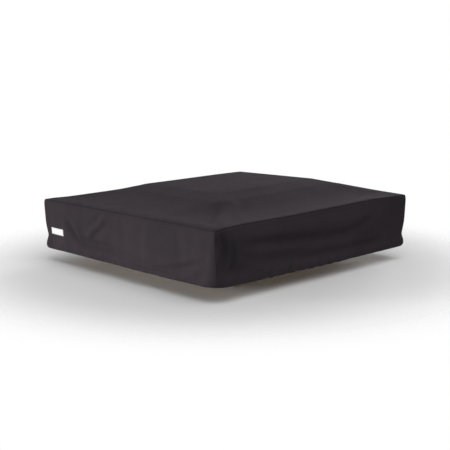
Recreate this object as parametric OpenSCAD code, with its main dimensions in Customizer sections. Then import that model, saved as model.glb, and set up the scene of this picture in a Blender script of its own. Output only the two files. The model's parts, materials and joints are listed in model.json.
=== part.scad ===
// Soft-shell roof tent, folded under its travel cover.
// X points to the front of the vehicle, Y to its left and Z up. The origin is the middle of the
// footprint at the underside of the clamp jaws. The upper floor half folds over to the right.

/* [Floor frame] */
// Length of the lower floor frame, along the vehicle
floor_l = 1100; // [900:1:1400]
// Width of each floor half, across the vehicle
floor_w = 1160; // [900:1:1500]
// Width of a frame rail
rail_w = 30; // [26:1:45]
// Height of a frame rail with its lip
rail_h = 30; // [26:1:45]
// Wall of a frame rail
rail_wall = 2; // [1.5:0.1:3]
// Width of the lip that stands round the board
lip_w = 6; // [4:0.5:9]
// Thickness of a floor board
board_t = 14; // [9:0.5:16]
// Play between a board and the lips round it
board_gap = 0.5; // [0.2:0.1:2]
// Length of the plug that joins two rails at a corner
plug_l = 60; // [30:1:100]
// Thickness of the cap on a rail end
cap_t = 3; // [2:0.5:6]
// Depth of the cap's spigot in the rail
spigot_l = 10; // [5:1:20]
// Play of a plug or a spigot in its rail
plug_gap = 0.3; // [0.1:0.05:0.6]

/* [Mattresses and folded canopy] */
// Thickness of one mattress
mattress_t = 55; // [30:1:80]
// Room between a mattress and the edge of the frame
mattress_margin = 14; // [8:1:40]
// Corner radius of a mattress
mattress_r = 50; // [10:1:90]
// Height of the space between the mattresses, where the bows and the canopy lie
nest_h = 44; // [34:1:80]
// Play between soft pieces and their neighbours
soft_gap = 0.3; // [0.2:0.1:1]

/* [Hinge] */
// Thickness of a hinge plate
plate_t = 4; // [3:0.5:6]
// Play between the two plates of a hinge, and under the bolt head
plate_gap = 0.3; // [0.2:0.1:1]
// Length of a hinge plate along its rail
plate_l = 130; // [90:1:200]
// Radius of the ear round the pivot
ear_r = 16; // [12:0.5:20]
// Distance of the pivot from the edge of the frame
pivot_out = 2; // [1:0.5:6]
// Diameter of the pivot bolt
pivot_d = 10; // [8:0.5:12]
// Running clearance of a pivot, on the radius
pivot_gap = 0.08; // [0.02:0.01:0.1]
// Height of the pivot bolt's head
bolt_head_h = 5; // [3:0.1:9]
// Width across the corners of the pivot bolt's head and nut
bolt_head_d = 18.5; // [14:0.5:22]
// Thickness of the pivot nut
pivot_nut_h = 8; // [5:0.5:12]
// Diameter of a rivet
rivet_d = 6; // [4:0.5:8]
// Height of a rivet head
rivet_head_h = 2.5; // [1.5:0.1:4]
// Distance of the outer rivets from the ends of a hinge plate
rivet_margin = 18; // [10:1:30]

/* [Canopy bows] */
// Diameter of a bow tube
bow_d = 16; // [12:0.5:19]
// Wall of a bow tube
bow_wall = 1.5; // [1:0.1:3]
// Spacing of the nested bows
bow_step = 20; // [20:0.5:26]
// Room between the outer bow and the free edge of the floor
bow_edge = 14; // [4:1:120]
// Bend radius of the outer bow
bow_bend = 70; // [65:1:160]
// Radius of the hub at the end of a bow
hub_r = 12; // [9:0.5:16]

/* [Ladder] */
// Place of the ladder's middle along the vehicle
ladder_x = -175; // [-250:1:200]
// Distance between the ladder's two stiles
stile_gap = 420; // [300:1:480]
// Diameter of the thinnest tube, at the hinged end
top_tube_d = 20; // [18:0.5:24]
// Wall of a ladder tube
tube_wall = 1.25; // [1:0.05:1.6]
// Clearance between one tube and the next, on the radius
tube_gap = 0.35; // [0.25:0.05:0.6]
// Distance of the first rung from the pivot
rung_first = 36; // [34:1:60]
// Distance between the rungs of the closed ladder
rung_pitch = 46; // [40:1:60]
// Width of a rung, along the ladder
rung_w = 34; // [20:1:36]
// Height of a rung's tread bar
rung_h = 22; // [14:1:30]
// Diameter of the collar round a stile
collar_d = 40; // [39:0.5:48]
// Distance from the pivot to the end of the feet
ladder_l = 685; // [620:1:760]
// Length of a foot
foot_l = 30; // [15:1:50]
// Thickness of the foot's sole
sole_t = 4; // [2:0.5:10]
// Step between the ends of the nested tubes
tube_end_step = 6; // [2:0.5:12]
// Distance of the ladder pivot from the rail at the free edge
ladder_inset = 15; // [12:1:40]
// Room between the collars and the board under them
ladder_clear = 2; // [1:0.5:10]
// Diameter of the ladder's pivot pin
ladder_pin_d = 10; // [6:0.5:12]
// Thickness of the ladder bracket
bracket_t = 3; // [2:0.5:5]
// Play beside the stile in its bracket
bracket_gap = 0.5; // [0.3:0.1:1.5]
// Width of the bracket's flange at each side
flange_w = 16; // [12:1:30]
// Diameter of a bracket screw
screw_d = 5; // [3:0.5:6]

/* [Closing straps] */
// Distance of a strap from the middle
strap_x = 470; // [200:1:500]
// Width of the webbing
strap_w = 25; // [15:1:40]
// Thickness of the webbing
strap_t = 1.5; // [1:0.1:3]
// Width of the buckle
buckle_w = 40; // [30:1:60]
// Thickness of the buckle
buckle_t = 12; // [10:0.5:16]
// Height of the buckle's socket
socket_h = 44; // [34:1:60]
// Height of the buckle's tongue above the socket
tongue_h = 24; // [15:1:40]
// Depth of the tongue in the socket
tongue_depth = 22; // [12:1:30]
// Wall of the socket
socket_wall = 2.5; // [1.5:0.1:4]
// Play of the tongue in the socket
tongue_gap = 0.6; // [0.5:0.1:1.2]

/* [Mounting rails and roof clamps] */
// Distance between the two mounting rails
mount_span = 720; // [400:1:900]
// Width of a mounting rail
mount_w = 40; // [34:1:60]
// Height of a mounting rail
mount_h = 18; // [16:0.5:30]
// Width of the slot's mouth
slot_mouth = 9; // [8.8:0.1:12]
// Thickness of the lips beside the mouth
slot_lip = 3; // [2:0.1:5]
// Width of the slot inside
slot_w = 18; // [17:0.5:24]
// Height of the slot inside
slot_h = 8; // [7:0.5:11]
// Thickness of a mounting rail's end cap
mount_cap_t = 4; // [2:0.5:8]
// Diameter of a bolt that holds a mounting rail to the frame
mount_bolt_d = 8; // [6:0.5:8.4]
// Height of that bolt's head
mount_bolt_head_h = 5; // [3:0.5:6]
// Height of that bolt's nut
mount_nut_h = 6; // [4:0.5:8]
// Distance of each pair of clamps from the middle
clamp_x = 310; // [200:1:400]
// Widest load bar that the clamps take
bar_w = 90; // [40:1:120]
// Highest load bar that the clamps take
bar_h = 34; // [20:1:60]
// Thickness of the plate above the bar
clamp_t = 6; // [4:0.5:10]
// Width of a clamp across its bolts
clamp_w = 40; // [26:1:60]
// Metal outside a clamp bolt, along the rail
clamp_end = 9; // [7:0.5:20]
// Height of the jaw under the bar
jaw_h = 14; // [13:0.5:25]
// Metal thickness of the jaw
jaw_t = 4; // [3:0.5:5]
// Diameter of a clamp bolt
clamp_bolt_d = 8; // [6:0.5:8.4]
// Height of the bolt head in the slot
clamp_head_h = 5; // [3:0.5:6]
// Height of a clamp nut
clamp_nut_h = 7; // [5:0.5:8]
// Play of the clamp parts
clamp_gap = 0.3; // [0.1:0.05:0.6]

/* [Travel cover] */
// Thickness of the cover with its lining
cover_t = 3; // [1.5:0.1:5]
// Room between the cover and the hinge bolts
cover_gap_x = 18.4; // [14:0.1:60]
// Room between the cover and the strap buckles
cover_gap_y = 14; // [8:0.5:40]
// Room between the cover and the top of the frame
cover_gap_z = 5; // [4:0.5:20]
// Room between the cover and the ladder
cover_gap_ladder = 2; // [1:0.5:10]
// Height of the skirt from hem to rim
skirt_h = 232; // [180:1:236]
// Corner radius of the cover
cover_r = 50; // [30:1:60]
// Width of the rounded rim
rim_w = 14; // [6:0.5:18]
// Depth by which the elastic hem pulls under
hem_lip = 20; // [10:0.5:22]
// Height of the bulge over the hem
hem_bulge_h = 24; // [10:1:34]
// Height of the skirt's straight wall over the hem
wall_h = 104; // [90:1:150]
// Height of the pinched line over the hem
pinch_h = 58; // [40:1:80]
// Depth of the pinched line
pinch = 9; // [1:0.5:9]
// Depth of the hem gathers
gather = 3; // [0.5:0.5:4]
// Sag of the rim between corners
rim_sag = 3; // [0:0.5:3]
// Sag of the top between the rim and the ladder
top_sag = 6; // [0:0.5:8]
// Room round the ladder on the raised part of the top
crown_margin = 12; // [8:1:40]
// Width of the slope round the raised part
crown_slope = 22; // [8:1:40]
// Corner radius of the raised part
crown_r = 30; // [10:1:60]
// Width of the sewn tag
tag_w = 100; // [40:1:160]
// Height of the sewn tag
tag_h = 30; // [15:1:50]
// Thickness of the sewn tag
tag_t = 0.8; // [0.5:0.1:1.2]
// Distance of the tag from the rear end of the cover
tag_inset = 56; // [52:1:300]
// Distance of the tag's middle under the rim
tag_drop = 143; // [50:1:150]

/* [Hidden] */
fine = 64;
coarse = 32;
touch = 0.05;
over = 1;

// Levels, from the clamp jaws up to the fold axis
bar_z = jaw_h;
clamp_z = bar_z + bar_h;
mount_z = clamp_z + clamp_t + clamp_gap;
frame_z = mount_z + mount_h;
box_h = rail_h - board_t;
ledge_z = frame_z + box_h;
bed_z = frame_z + rail_h;
nest_z = bed_z + mattress_t;
axis_z = nest_z + nest_h / 2;
top_z = 2 * axis_z - frame_z;
deck_z = 2 * axis_z - ledge_z;

// Plan of the frames and the fold axis
half_l = floor_l / 2;
half_w = floor_w / 2;
upper_half_l = half_l + plate_t + plate_gap;
axis_y = -half_w - pivot_out;
plate_foot_z = frame_z + 1.5 * rail_wall;
rivet_z = frame_z + box_h / 2;
rivet_tail_h = 2;
rivet_ys = [for (i = [0:2]) -half_w + rivet_margin + i * (plate_l - 2 * rivet_margin) / 2];
bolt_head_x = upper_half_l + plate_t + plate_gap;
hub_l = bow_step - 2 * plate_gap;
bow_count = 3;
bow_reach = floor_w + pivot_out - bow_edge - bow_d / 2;
canopy_room = 4;
bolt_tip = 2;
bolt_end_x = half_l - bow_count * bow_step - pivot_nut_h - bolt_tip;

// Ladder
section_count = 6;
tube_step = 2 * (tube_wall + tube_gap);
pivot_y = half_w - rail_w - ladder_inset;
ladder_z = deck_z + ladder_clear + collar_d / 2;
ladder_top_z = ladder_z + collar_d / 2;
ladder_half_w = stile_gap / 2 + collar_d / 2;
pin_metal = 5;
tube_lead = ladder_pin_d / 2 + pin_metal + over;
ear_x = top_tube_d / 2 + bracket_gap;
bracket_ear_r = ladder_pin_d / 2 + pin_metal;
rung_fit = 0.05;

// Strap levels
strap_y = half_w;
buckle_y = strap_y + strap_t;
socket_z = axis_z + 2 - socket_h;
socket_top_z = socket_z + socket_h;
tongue_base_z = socket_top_z + tongue_gap;
strap_overlap = 10;
strap_inset = 4;

// Mounting rails and clamps
mount_setback = 2;
mount_half_l = half_l - mount_cap_t - mount_setback;
slot_z = mount_z + slot_lip;
mount_bolt_x = half_l - rail_w / 2;
slot_wall = 2;
side_hollow = (mount_w - slot_w) / 2 - 2 * slot_wall;
bar_room = 1;
bolt_x = bar_w / 2 + clamp_bolt_d / 2 + bar_room;
clamp_half_l = bolt_x + clamp_bolt_d / 2 + clamp_end;
clamp_head_w = slot_w - 4 * clamp_gap;
clamp_nut_d = clamp_bolt_d * 1.85;

// Cover levels and plan
cover_half_l = bolt_head_x + bolt_head_h + cover_gap_x + cover_t;
cover_half_w = buckle_y + buckle_t + cover_gap_y + cover_t;
rim_z = top_z + cover_gap_z + cover_t;
hem_z = rim_z - skirt_h;
crown_z = ladder_top_z + cover_gap_ladder + cover_t;
crown_x = ladder_x;
crown_y = pivot_y + tube_lead / 2 - ladder_l / 2;
crown_half_l = ladder_half_w + crown_margin;
crown_half_w = (ladder_l + tube_lead) / 2 + crown_margin;
arc_n = 4;
edge_n = 10;
side_n = arc_n + edge_n;
wall_inset = 1;
hem_round = 6;
hem_turn = 4;
tag_z = rim_z - tag_drop;

// Placing helpers
module both_ends() {
    children();
    mirror([1, 0, 0]) children();
}

module both_sides() {
    children();
    mirror([0, 1, 0]) children();
}

module folded_over() {
    translate([0, 0, 2 * axis_z]) mirror([0, 0, 1]) children();
}

// A cylinder along +X, starting at x
module along_x(x, y, z, d, l, sides = fine) {
    translate([x, y, z]) rotate([0, 90, 0]) cylinder(d = d, h = l, $fn = sides);
}

// A slab with round corners in plan
module rounded_slab(l, w, h, r) {
    linear_extrude(h) {
        square([l - 2 * r, w], center = true);
        square([l, w - 2 * r], center = true);
        for (sx = [-1, 1]) {
            for (sy = [-1, 1]) translate([sx * (l / 2 - r), sy * (w / 2 - r)]) circle(r, $fn = fine);
        }
    }
}

// Section of a frame rail: u runs inwards from the outer face and v up from the bottom
module rail_outline() {
    square([rail_w, box_h]);
    square([lip_w, rail_h]);
}

module rail_section() {
    difference() {
        rail_outline();
        translate([rail_wall, rail_wall]) square([rail_w - 2 * rail_wall, box_h - 2 * rail_wall]);
    }
}

module along_long_rail(half, y, l) {
    translate([half, y + l, frame_z]) rotate([90, 0, 0]) linear_extrude(l) mirror([1, 0]) children();
}

module along_cross_rail(x, l) {
    translate([x, half_w, frame_z]) rotate([90, 0, 90]) linear_extrude(l) mirror([1, 0]) children();
}

module long_rails(half, bolted) {
    both_ends() difference() {
        along_long_rail(half, -half_w + cap_t, floor_w - 2 * cap_t) rail_section();
        for (y = rivet_ys)
            along_x(half - rail_wall - over, y, rivet_z, rivet_d + 2 * touch, rail_wall + 2 * over);
        if (bolted) {
            for (y = [-mount_span / 2, mount_span / 2]) translate([mount_bolt_x, y, frame_z - over])
                cylinder(d = mount_bolt_d + 2 * clamp_gap, h = rail_wall + 2 * over, $fn = fine);
        }
    }
}

module cross_rails(half) {
    both_sides() along_cross_rail(-half + rail_w, 2 * (half - rail_w)) rail_section();
}

module corner_plugs(half) {
    inset = rail_wall + plug_gap;
    both_ends() both_sides() along_cross_rail(half - rail_w - plug_l, plug_l)
        translate([inset, inset]) square([rail_w - 2 * inset, box_h - 2 * inset]);
}

module rail_caps(half) {
    inset = rail_wall + plug_gap;
    both_ends() both_sides() {
        along_long_rail(half, half_w - cap_t, cap_t) rail_outline();
        along_long_rail(half, half_w - cap_t - spigot_l, spigot_l)
            translate([inset, inset]) square([rail_w - 2 * inset, box_h - 2 * inset]);
    }
}

module board(half) {
    l = 2 * (half - lip_w - board_gap);
    w = floor_w - 2 * (lip_w + board_gap);
    translate([-l / 2, -w / 2, ledge_z]) cube([l, w, board_t]);
}

// Hinge plate in the Y-Z plane: a foot on the rail, an arm and an ear round the pivot
module plate_outline() {
    translate([axis_y, axis_z]) circle(ear_r, $fn = fine);
    polygon([
        [axis_y - ear_r, axis_z],
        [axis_y - ear_r, axis_z - ear_r / 2],
        [-half_w, bed_z + 4],
        [-half_w, plate_foot_z],
        [-half_w + plate_l, plate_foot_z],
        [-half_w + plate_l, bed_z - 4],
        [-half_w + plate_l / 2, bed_z],
        [axis_y + ear_r, nest_z],
        [axis_y + ear_r, axis_z]
    ]);
}

module hinge_plates(inner_x) {
    both_ends() difference() {
        translate([inner_x, 0, 0]) rotate([90, 0, 90]) linear_extrude(plate_t) plate_outline();
        along_x(inner_x - over, axis_y, axis_z, pivot_d + 2 * pivot_gap, plate_t + 2 * over);
        for (y = rivet_ys) along_x(inner_x - over, y, rivet_z, rivet_d + 2 * touch, plate_t + 2 * over);
    }
}

module hinge_rivets(half) {
    inner_x = half - rail_wall;
    both_ends() for (y = rivet_ys) {
        along_x(inner_x - rivet_tail_h, y, rivet_z, rivet_d, rivet_tail_h + rail_wall + plate_t);
        along_x(inner_x - rivet_tail_h, y, rivet_z, 1.5 * rivet_d, rivet_tail_h);
        translate([half + plate_t, y, rivet_z]) rotate([0, 90, 0])
            cylinder(d1 = 2 * rivet_d, d2 = 1.4 * rivet_d, h = rivet_head_h, $fn = fine);
    }
}

module mattress() {
    translate([0, 0, bed_z + soft_gap])
        rounded_slab(floor_l - 2 * mattress_margin, floor_w - 2 * mattress_margin,
            mattress_t - 2 * soft_gap, mattress_r);
}

// Mounting rail with a T-slot that opens downwards
module mount_section() {
    difference() {
        translate([-mount_w / 2, 0]) square([mount_w, mount_h]);
        translate([-slot_mouth / 2, -over]) square([slot_mouth, slot_lip + 2 * over]);
        translate([-slot_w / 2, slot_lip]) square([slot_w, slot_h]);
        for (s = [-1, 1]) translate([s * (slot_w / 2 + slot_wall + side_hollow / 2), mount_h / 2])
            square([side_hollow, mount_h - 2 * slot_lip], center = true);
    }
}

module mount_rails() {
    color("silver") both_sides() difference() {
        translate([-mount_half_l, mount_span / 2, mount_z]) rotate([90, 0, 90])
            linear_extrude(2 * mount_half_l) mount_section();
        for (x = [-mount_bolt_x, mount_bolt_x]) translate([x, mount_span / 2, slot_z])
            cylinder(d = mount_bolt_d + 2 * clamp_gap, h = mount_h, $fn = fine);
    }
}

module mount_rail_caps() {
    color("#202022") both_ends() both_sides()
        translate([mount_half_l, mount_span / 2 - mount_w / 2, mount_z])
            cube([mount_cap_t, mount_w, mount_h]);
}

module mount_rail_bolts() {
    head_z = slot_z + slot_h - mount_bolt_head_h;
    nut_z = frame_z + rail_wall;
    tip_z = nut_z + mount_nut_h + bolt_tip;
    hex_d = 1.75 * mount_bolt_d;
    color("gray") both_ends() both_sides() translate([mount_bolt_x, mount_span / 2, 0]) {
        translate([0, 0, head_z]) cylinder(d = hex_d, h = mount_bolt_head_h, $fn = 6);
        translate([0, 0, head_z]) cylinder(d = mount_bolt_d, h = tip_z - head_z, $fn = fine);
        translate([0, 0, nut_z]) cylinder(d = hex_d, h = mount_nut_h, $fn = 6);
    }
}

module lower_long_rails() {
    color("#2c2d30") long_rails(half_l, true);
}

module lower_cross_rails() {
    color("#2c2d30") cross_rails(half_l);
}

module lower_corner_plugs() {
    color("#1c1c1e") corner_plugs(half_l);
}

module lower_rail_caps() {
    color("#1c1c1e") rail_caps(half_l);
}

module lower_board() {
    color("burlywood") board(half_l);
}

module lower_hinge_plates() {
    color("dimgray") hinge_plates(half_l);
}

module lower_hinge_rivets() {
    color("silver") hinge_rivets(half_l);
}

module hinge_bolts() {
    color("gray") both_ends() {
        along_x(bolt_end_x, axis_y, axis_z, pivot_d, bolt_head_x - bolt_end_x);
        along_x(bolt_head_x, axis_y, axis_z, bolt_head_d, bolt_head_h, 6);
    }
}

module hinge_nuts() {
    nut_x = half_l - bow_count * bow_step - plate_gap - pivot_nut_h;
    color("gray") both_ends() difference() {
        along_x(nut_x, axis_y, axis_z, bolt_head_d, pivot_nut_h, 6);
        along_x(nut_x - over, axis_y, axis_z, pivot_d + 2 * touch, pivot_nut_h + 2 * over);
    }
}

module lower_mattress() {
    color("#b9b4a8") mattress();
}

// The canopy, folded flat inside the innermost bow
module folded_canopy() {
    inner_half_l = bolt_end_x - canopy_room;
    near_y = axis_y + 2 * hub_r;
    far_y = axis_y + bow_reach - bow_count * bow_step;
    color("#8d9088") translate([0, (near_y + far_y) / 2, nest_z + soft_gap])
        rounded_slab(2 * inner_half_l, far_y - near_y, nest_h - 2 * soft_gap, bow_bend - 2 * bow_step);
}

// Closing straps and their buckles, at the free edge
module lower_straps() {
    base_z = frame_z + strap_inset;
    color("#242426") both_ends() translate([strap_x - strap_w / 2, strap_y, base_z])
        cube([strap_w, strap_t, socket_z + strap_overlap - base_z]);
}

module buckle_sockets() {
    cavity_w = buckle_w - 2 * socket_wall;
    cavity_t = buckle_t - 2 * socket_wall;
    color("#1a1a1c") both_ends() translate([strap_x, buckle_y, socket_z]) difference() {
        translate([-buckle_w / 2, 0, 0]) cube([buckle_w, buckle_t, socket_h]);
        translate([-cavity_w / 2, socket_wall, socket_h - tongue_depth - tongue_gap])
            cube([cavity_w, cavity_t, tongue_depth + tongue_gap + over]);
    }
}

module upper_straps() {
    end_z = tongue_base_z + tongue_h - strap_overlap;
    color("#242426") both_ends()
        translate([strap_x - strap_w / 2, strap_y, end_z])
            cube([strap_w, strap_t, top_z - strap_inset - end_z]);
}

module buckle_tongues() {
    inset = socket_wall + tongue_gap;
    prong_w = buckle_w / 4;
    prong_x = buckle_w / 2 - inset - prong_w;
    color("#1a1a1c") both_ends() translate([strap_x, buckle_y, tongue_base_z]) {
        translate([-buckle_w / 2, 0, 0]) cube([buckle_w, buckle_t, tongue_h]);
        both_ends() translate([prong_x, inset, -tongue_depth])
            cube([prong_w, buckle_t - 2 * inset, tongue_depth + over]);
    }
}

module upper_long_rails() {
    color("#2c2d30") folded_over() long_rails(upper_half_l, false);
}

module upper_cross_rails() {
    color("#2c2d30") folded_over() cross_rails(upper_half_l);
}

module upper_corner_plugs() {
    color("#1c1c1e") folded_over() corner_plugs(upper_half_l);
}

module upper_rail_caps() {
    color("#1c1c1e") folded_over() rail_caps(upper_half_l);
}

module upper_board() {
    color("burlywood") folded_over() board(upper_half_l);
}

module upper_hinge_plates() {
    color("dimgray") folded_over() hinge_plates(upper_half_l);
}

module upper_hinge_rivets() {
    color("silver") folded_over() hinge_rivets(upper_half_l);
}

module upper_mattress() {
    color("#b9b4a8") folded_over() mattress();
}

// U-shaped canopy bows, nested in the plane of the fold axis
module bow_section() {
    difference() {
        circle(d = bow_d, $fn = coarse);
        circle(d = bow_d - 2 * bow_wall, $fn = coarse);
    }
}

module bow(i) {
    leg_x = half_l - (i + 0.5) * bow_step;
    reach = bow_reach - i * bow_step;
    bend = bow_bend - i * bow_step;
    leg_start = hub_r - bow_wall;
    color("lightgray") difference() {
        union() {
            both_ends() {
                along_x(leg_x - hub_l / 2, axis_y, axis_z, 2 * hub_r, hub_l);
                translate([leg_x, axis_y + leg_start, axis_z]) rotate([-90, 0, 0])
                    linear_extrude(reach - bend - leg_start) bow_section();
                translate([leg_x - bend, axis_y + reach - bend, axis_z])
                    rotate_extrude(angle = 90, $fn = fine) translate([bend, 0]) bow_section();
            }
            translate([-leg_x + bend, axis_y + reach, axis_z]) rotate([0, 90, 0])
                linear_extrude(2 * (leg_x - bend)) bow_section();
        }
        both_ends() along_x(leg_x - bow_step, axis_y, axis_z, pivot_d + 2 * pivot_gap, 2 * bow_step);
    }
}

module outer_bow() {
    bow(0);
}

module middle_bow() {
    bow(1);
}

module inner_bow() {
    bow(2);
}

// Telescopic ladder. Distances run from its pivot towards the fold axis.
function tube_d(i) = top_tube_d + i * tube_step;
function rung_at(i) = rung_first + i * rung_pitch;
function tube_from(i) = i == 0 ? -tube_lead : rung_at(i) - rung_w / 2;
function tube_to(i) = ladder_l - sole_t - (section_count - 1 - i) * tube_end_step;

module along_ladder(x, d, from, to) {
    translate([ladder_x + x, pivot_y - from, ladder_z]) rotate([90, 0, 0])
        cylinder(d = d, h = to - from, $fn = fine);
}

module at_stiles() {
    for (s = [-1, 1]) translate([s * stile_gap / 2, 0, 0]) children();
}

module ladder_stiles(i) {
    color("#c4c6c8") at_stiles() difference() {
        along_ladder(0, tube_d(i), tube_from(i), tube_to(i));
        along_ladder(0, tube_d(i) - 2 * tube_wall, tube_from(i) - over, tube_to(i) + over);
        if (i == 0)
            along_x(ladder_x - top_tube_d, pivot_y, ladder_z, ladder_pin_d + 2 * pivot_gap, 2 * top_tube_d);
    }
}

module ladder_rung(i) {
    from = rung_at(i) - rung_w / 2;
    color("#3a3b3e") difference() {
        union() {
            at_stiles() along_ladder(0, collar_d, from, from + rung_w);
            translate([ladder_x - stile_gap / 2, pivot_y - from - rung_w, ladder_z - rung_h / 2])
                cube([stile_gap, rung_w, rung_h]);
        }
        at_stiles() along_ladder(0, tube_d(i) + 2 * rung_fit, from - over, from + rung_w + over);
    }
}

module ladder_feet() {
    last = section_count - 1;
    color("#1a1a1c") at_stiles() difference() {
        along_ladder(0, collar_d, ladder_l - foot_l, ladder_l);
        along_ladder(0, tube_d(last) + 2 * rung_fit, ladder_l - foot_l - over, tube_to(last));
    }
}

module ladder_stiles_1() {
    ladder_stiles(0);
}

module ladder_stiles_2() {
    ladder_stiles(1);
}

module ladder_stiles_3() {
    ladder_stiles(2);
}

module ladder_stiles_4() {
    ladder_stiles(3);
}

module ladder_stiles_5() {
    ladder_stiles(4);
}

module ladder_stiles_6() {
    ladder_stiles(5);
}

module ladder_rung_1() {
    ladder_rung(0);
}

module ladder_rung_2() {
    ladder_rung(1);
}

module ladder_rung_3() {
    ladder_rung(2);
}

module ladder_rung_4() {
    ladder_rung(3);
}

module ladder_rung_5() {
    ladder_rung(4);
}

module ladder_rung_6() {
    ladder_rung(5);
}

// Forked brackets that carry the ladder on the upper board
module ladder_brackets() {
    foot_w = ear_x + bracket_t + flange_w;
    screw_x = foot_w - flange_w / 2;
    ear_h = ladder_z - deck_z;
    color("dimgray") at_stiles() translate([ladder_x, pivot_y, deck_z]) difference() {
        union() {
            translate([-foot_w, -bracket_ear_r, 0]) cube([2 * foot_w, 2 * bracket_ear_r, bracket_t]);
            both_ends() {
                translate([ear_x, -bracket_ear_r, 0]) cube([bracket_t, 2 * bracket_ear_r, ear_h]);
                along_x(ear_x, 0, ear_h, 2 * bracket_ear_r, bracket_t);
            }
        }
        along_x(-2 * ear_x, 0, ear_h, ladder_pin_d + 2 * touch, 4 * ear_x);
        both_ends() translate([screw_x, 0, -over])
            cylinder(d = screw_d + 2 * touch, h = bracket_t + 2 * over, $fn = fine);
    }
}

module ladder_pins() {
    head_h = 3;
    reach = ear_x + bracket_t;
    color("silver") at_stiles() {
        along_x(ladder_x - reach, pivot_y, ladder_z, ladder_pin_d, 2 * reach);
        along_x(ladder_x - reach - head_h, pivot_y, ladder_z, 1.5 * ladder_pin_d, head_h);
        along_x(ladder_x + reach, pivot_y, ladder_z, 1.5 * ladder_pin_d, head_h);
    }
}

module bracket_screws() {
    screw_x = ear_x + bracket_t + flange_w / 2;
    color("silver") at_stiles() translate([ladder_x, pivot_y, deck_z]) both_ends() {
        translate([screw_x, 0, 0]) cylinder(d = screw_d, h = bracket_t, $fn = fine);
        translate([screw_x, 0, bracket_t])
            cylinder(d1 = 2 * screw_d, d2 = 1.5 * screw_d, h = screw_d / 2, $fn = fine);
    }
}

// Roof clamps: a plate over the load bar, a jaw under it and two bolts that hang in the rail's slot
module at_clamps(end) {
    both_sides() translate([end * clamp_x, mount_span / 2, 0]) children();
}

module at_clamp_bolts(end) {
    at_clamps(end) for (s = [-1, 1]) translate([s * bolt_x, 0, 0]) children();
}

module bolt_holes(z, h) {
    for (s = [-1, 1]) translate([s * bolt_x, 0, z])
        cylinder(d = clamp_bolt_d + 2 * clamp_gap, h = h, $fn = fine);
}

module clamp_plates(end) {
    color("#1c1c1e") at_clamps(end) difference() {
        translate([-clamp_half_l, -clamp_w / 2, clamp_z]) cube([2 * clamp_half_l, clamp_w, clamp_t]);
        bolt_holes(clamp_z - over, clamp_t + 2 * over);
    }
}

module clamp_jaws(end) {
    color("#1c1c1e") at_clamps(end) difference() {
        translate([-clamp_half_l, -clamp_w / 2, 0]) cube([2 * clamp_half_l, clamp_w, jaw_h]);
        translate([-clamp_half_l - over, -clamp_w / 2 + jaw_t, -over])
            cube([2 * (clamp_half_l + over), clamp_w - 2 * jaw_t, jaw_h - jaw_t + over]);
        bolt_holes(-over, jaw_h + 2 * over);
    }
}

module clamp_bolts(end) {
    head_z = slot_z + clamp_gap;
    tip_z = 1;
    color("silver") at_clamp_bolts(end) {
        translate([0, 0, tip_z]) cylinder(d = clamp_bolt_d, h = head_z - tip_z + over, $fn = fine);
        translate([-clamp_head_w / 2, -clamp_head_w / 2, head_z])
            cube([clamp_head_w, clamp_head_w, clamp_head_h]);
    }
}

module clamp_nuts(end) {
    nut_z = jaw_h - jaw_t - clamp_nut_h;
    color("silver") at_clamp_bolts(end) difference() {
        translate([0, 0, nut_z]) cylinder(d = clamp_nut_d, h = clamp_nut_h, $fn = 6);
        translate([0, 0, nut_z - over])
            cylinder(d = clamp_bolt_d + 2 * pivot_gap, h = clamp_nut_h + 2 * over, $fn = fine);
    }
}

module front_clamp_plates() {
    clamp_plates(1);
}

module front_clamp_bolts() {
    clamp_bolts(1);
}

module front_clamp_jaws() {
    clamp_jaws(1);
}

module front_clamp_nuts() {
    clamp_nuts(1);
}

module rear_clamp_plates() {
    clamp_plates(-1);
}

module rear_clamp_bolts() {
    clamp_bolts(-1);
}

module rear_clamp_jaws() {
    clamp_jaws(-1);
}

module rear_clamp_nuts() {
    clamp_nuts(-1);
}

// Travel cover: closed rings of points from the crown over the rim and the skirt to the hem,
// then back up inside. A ring's points run round four corners and the four edges after them.
function mix(a, b, t) = a + (b - a) * t;
function corner_point(half_x, half_y, r, k, a) =
    let (turn = 90 * (k + a / arc_n), sx = sign(cos(90 * k + 45)), sy = sign(sin(90 * k + 45)))
    [sx * (half_x - r) + r * cos(turn), sy * (half_y - r) + r * sin(turn)];
function plan_point(half_x, half_y, r, k, i) =
    let (first = corner_point(half_x, half_y, r, k, arc_n), last = corner_point(half_x, half_y, r, k + 1, 0))
    i <= arc_n ? corner_point(half_x, half_y, r, k, i) : mix(first, last, along_edge(i));
function along_edge(i) = max(0, i - arc_n) / edge_n;
function bow_shape(i) = 4 * along_edge(i) * (1 - along_edge(i));
function fold_side(i) = i <= arc_n ? 0 : (i % 2 == 0 ? 1 : -1);
function inward(k) = -[cos(90 * (k + 1)), sin(90 * (k + 1))];

// A ring round the skirt: inset from the plan, height, sag inwards and down, and depth of gathers
function skirt_ring(inset, z, sag_in, sag_down, folds) = [
    for (k = [0:3]) for (i = [0:side_n - 1])
        let (flat = plan_point(cover_half_l - inset, cover_half_w - inset, cover_r - inset, k, i),
            place = flat + inward(k) * (sag_in * bow_shape(i) + folds * fold_side(i)))
        [place.x, place.y, z - sag_down * bow_shape(i)]
];

// A ring round the crown over the ladder
function crown_ring(grow, z) = [
    for (k = [0:3]) for (i = [0:side_n - 1])
        let (flat = plan_point(crown_half_l + grow, crown_half_w + grow, crown_r, k, i))
        [crown_x + flat.x, crown_y + flat.y, z]
];

function between_rings(a, b, t, drop) = [
    for (i = [0:len(a) - 1]) mix(a[i], b[i], t) - [0, 0, drop]
];

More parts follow.
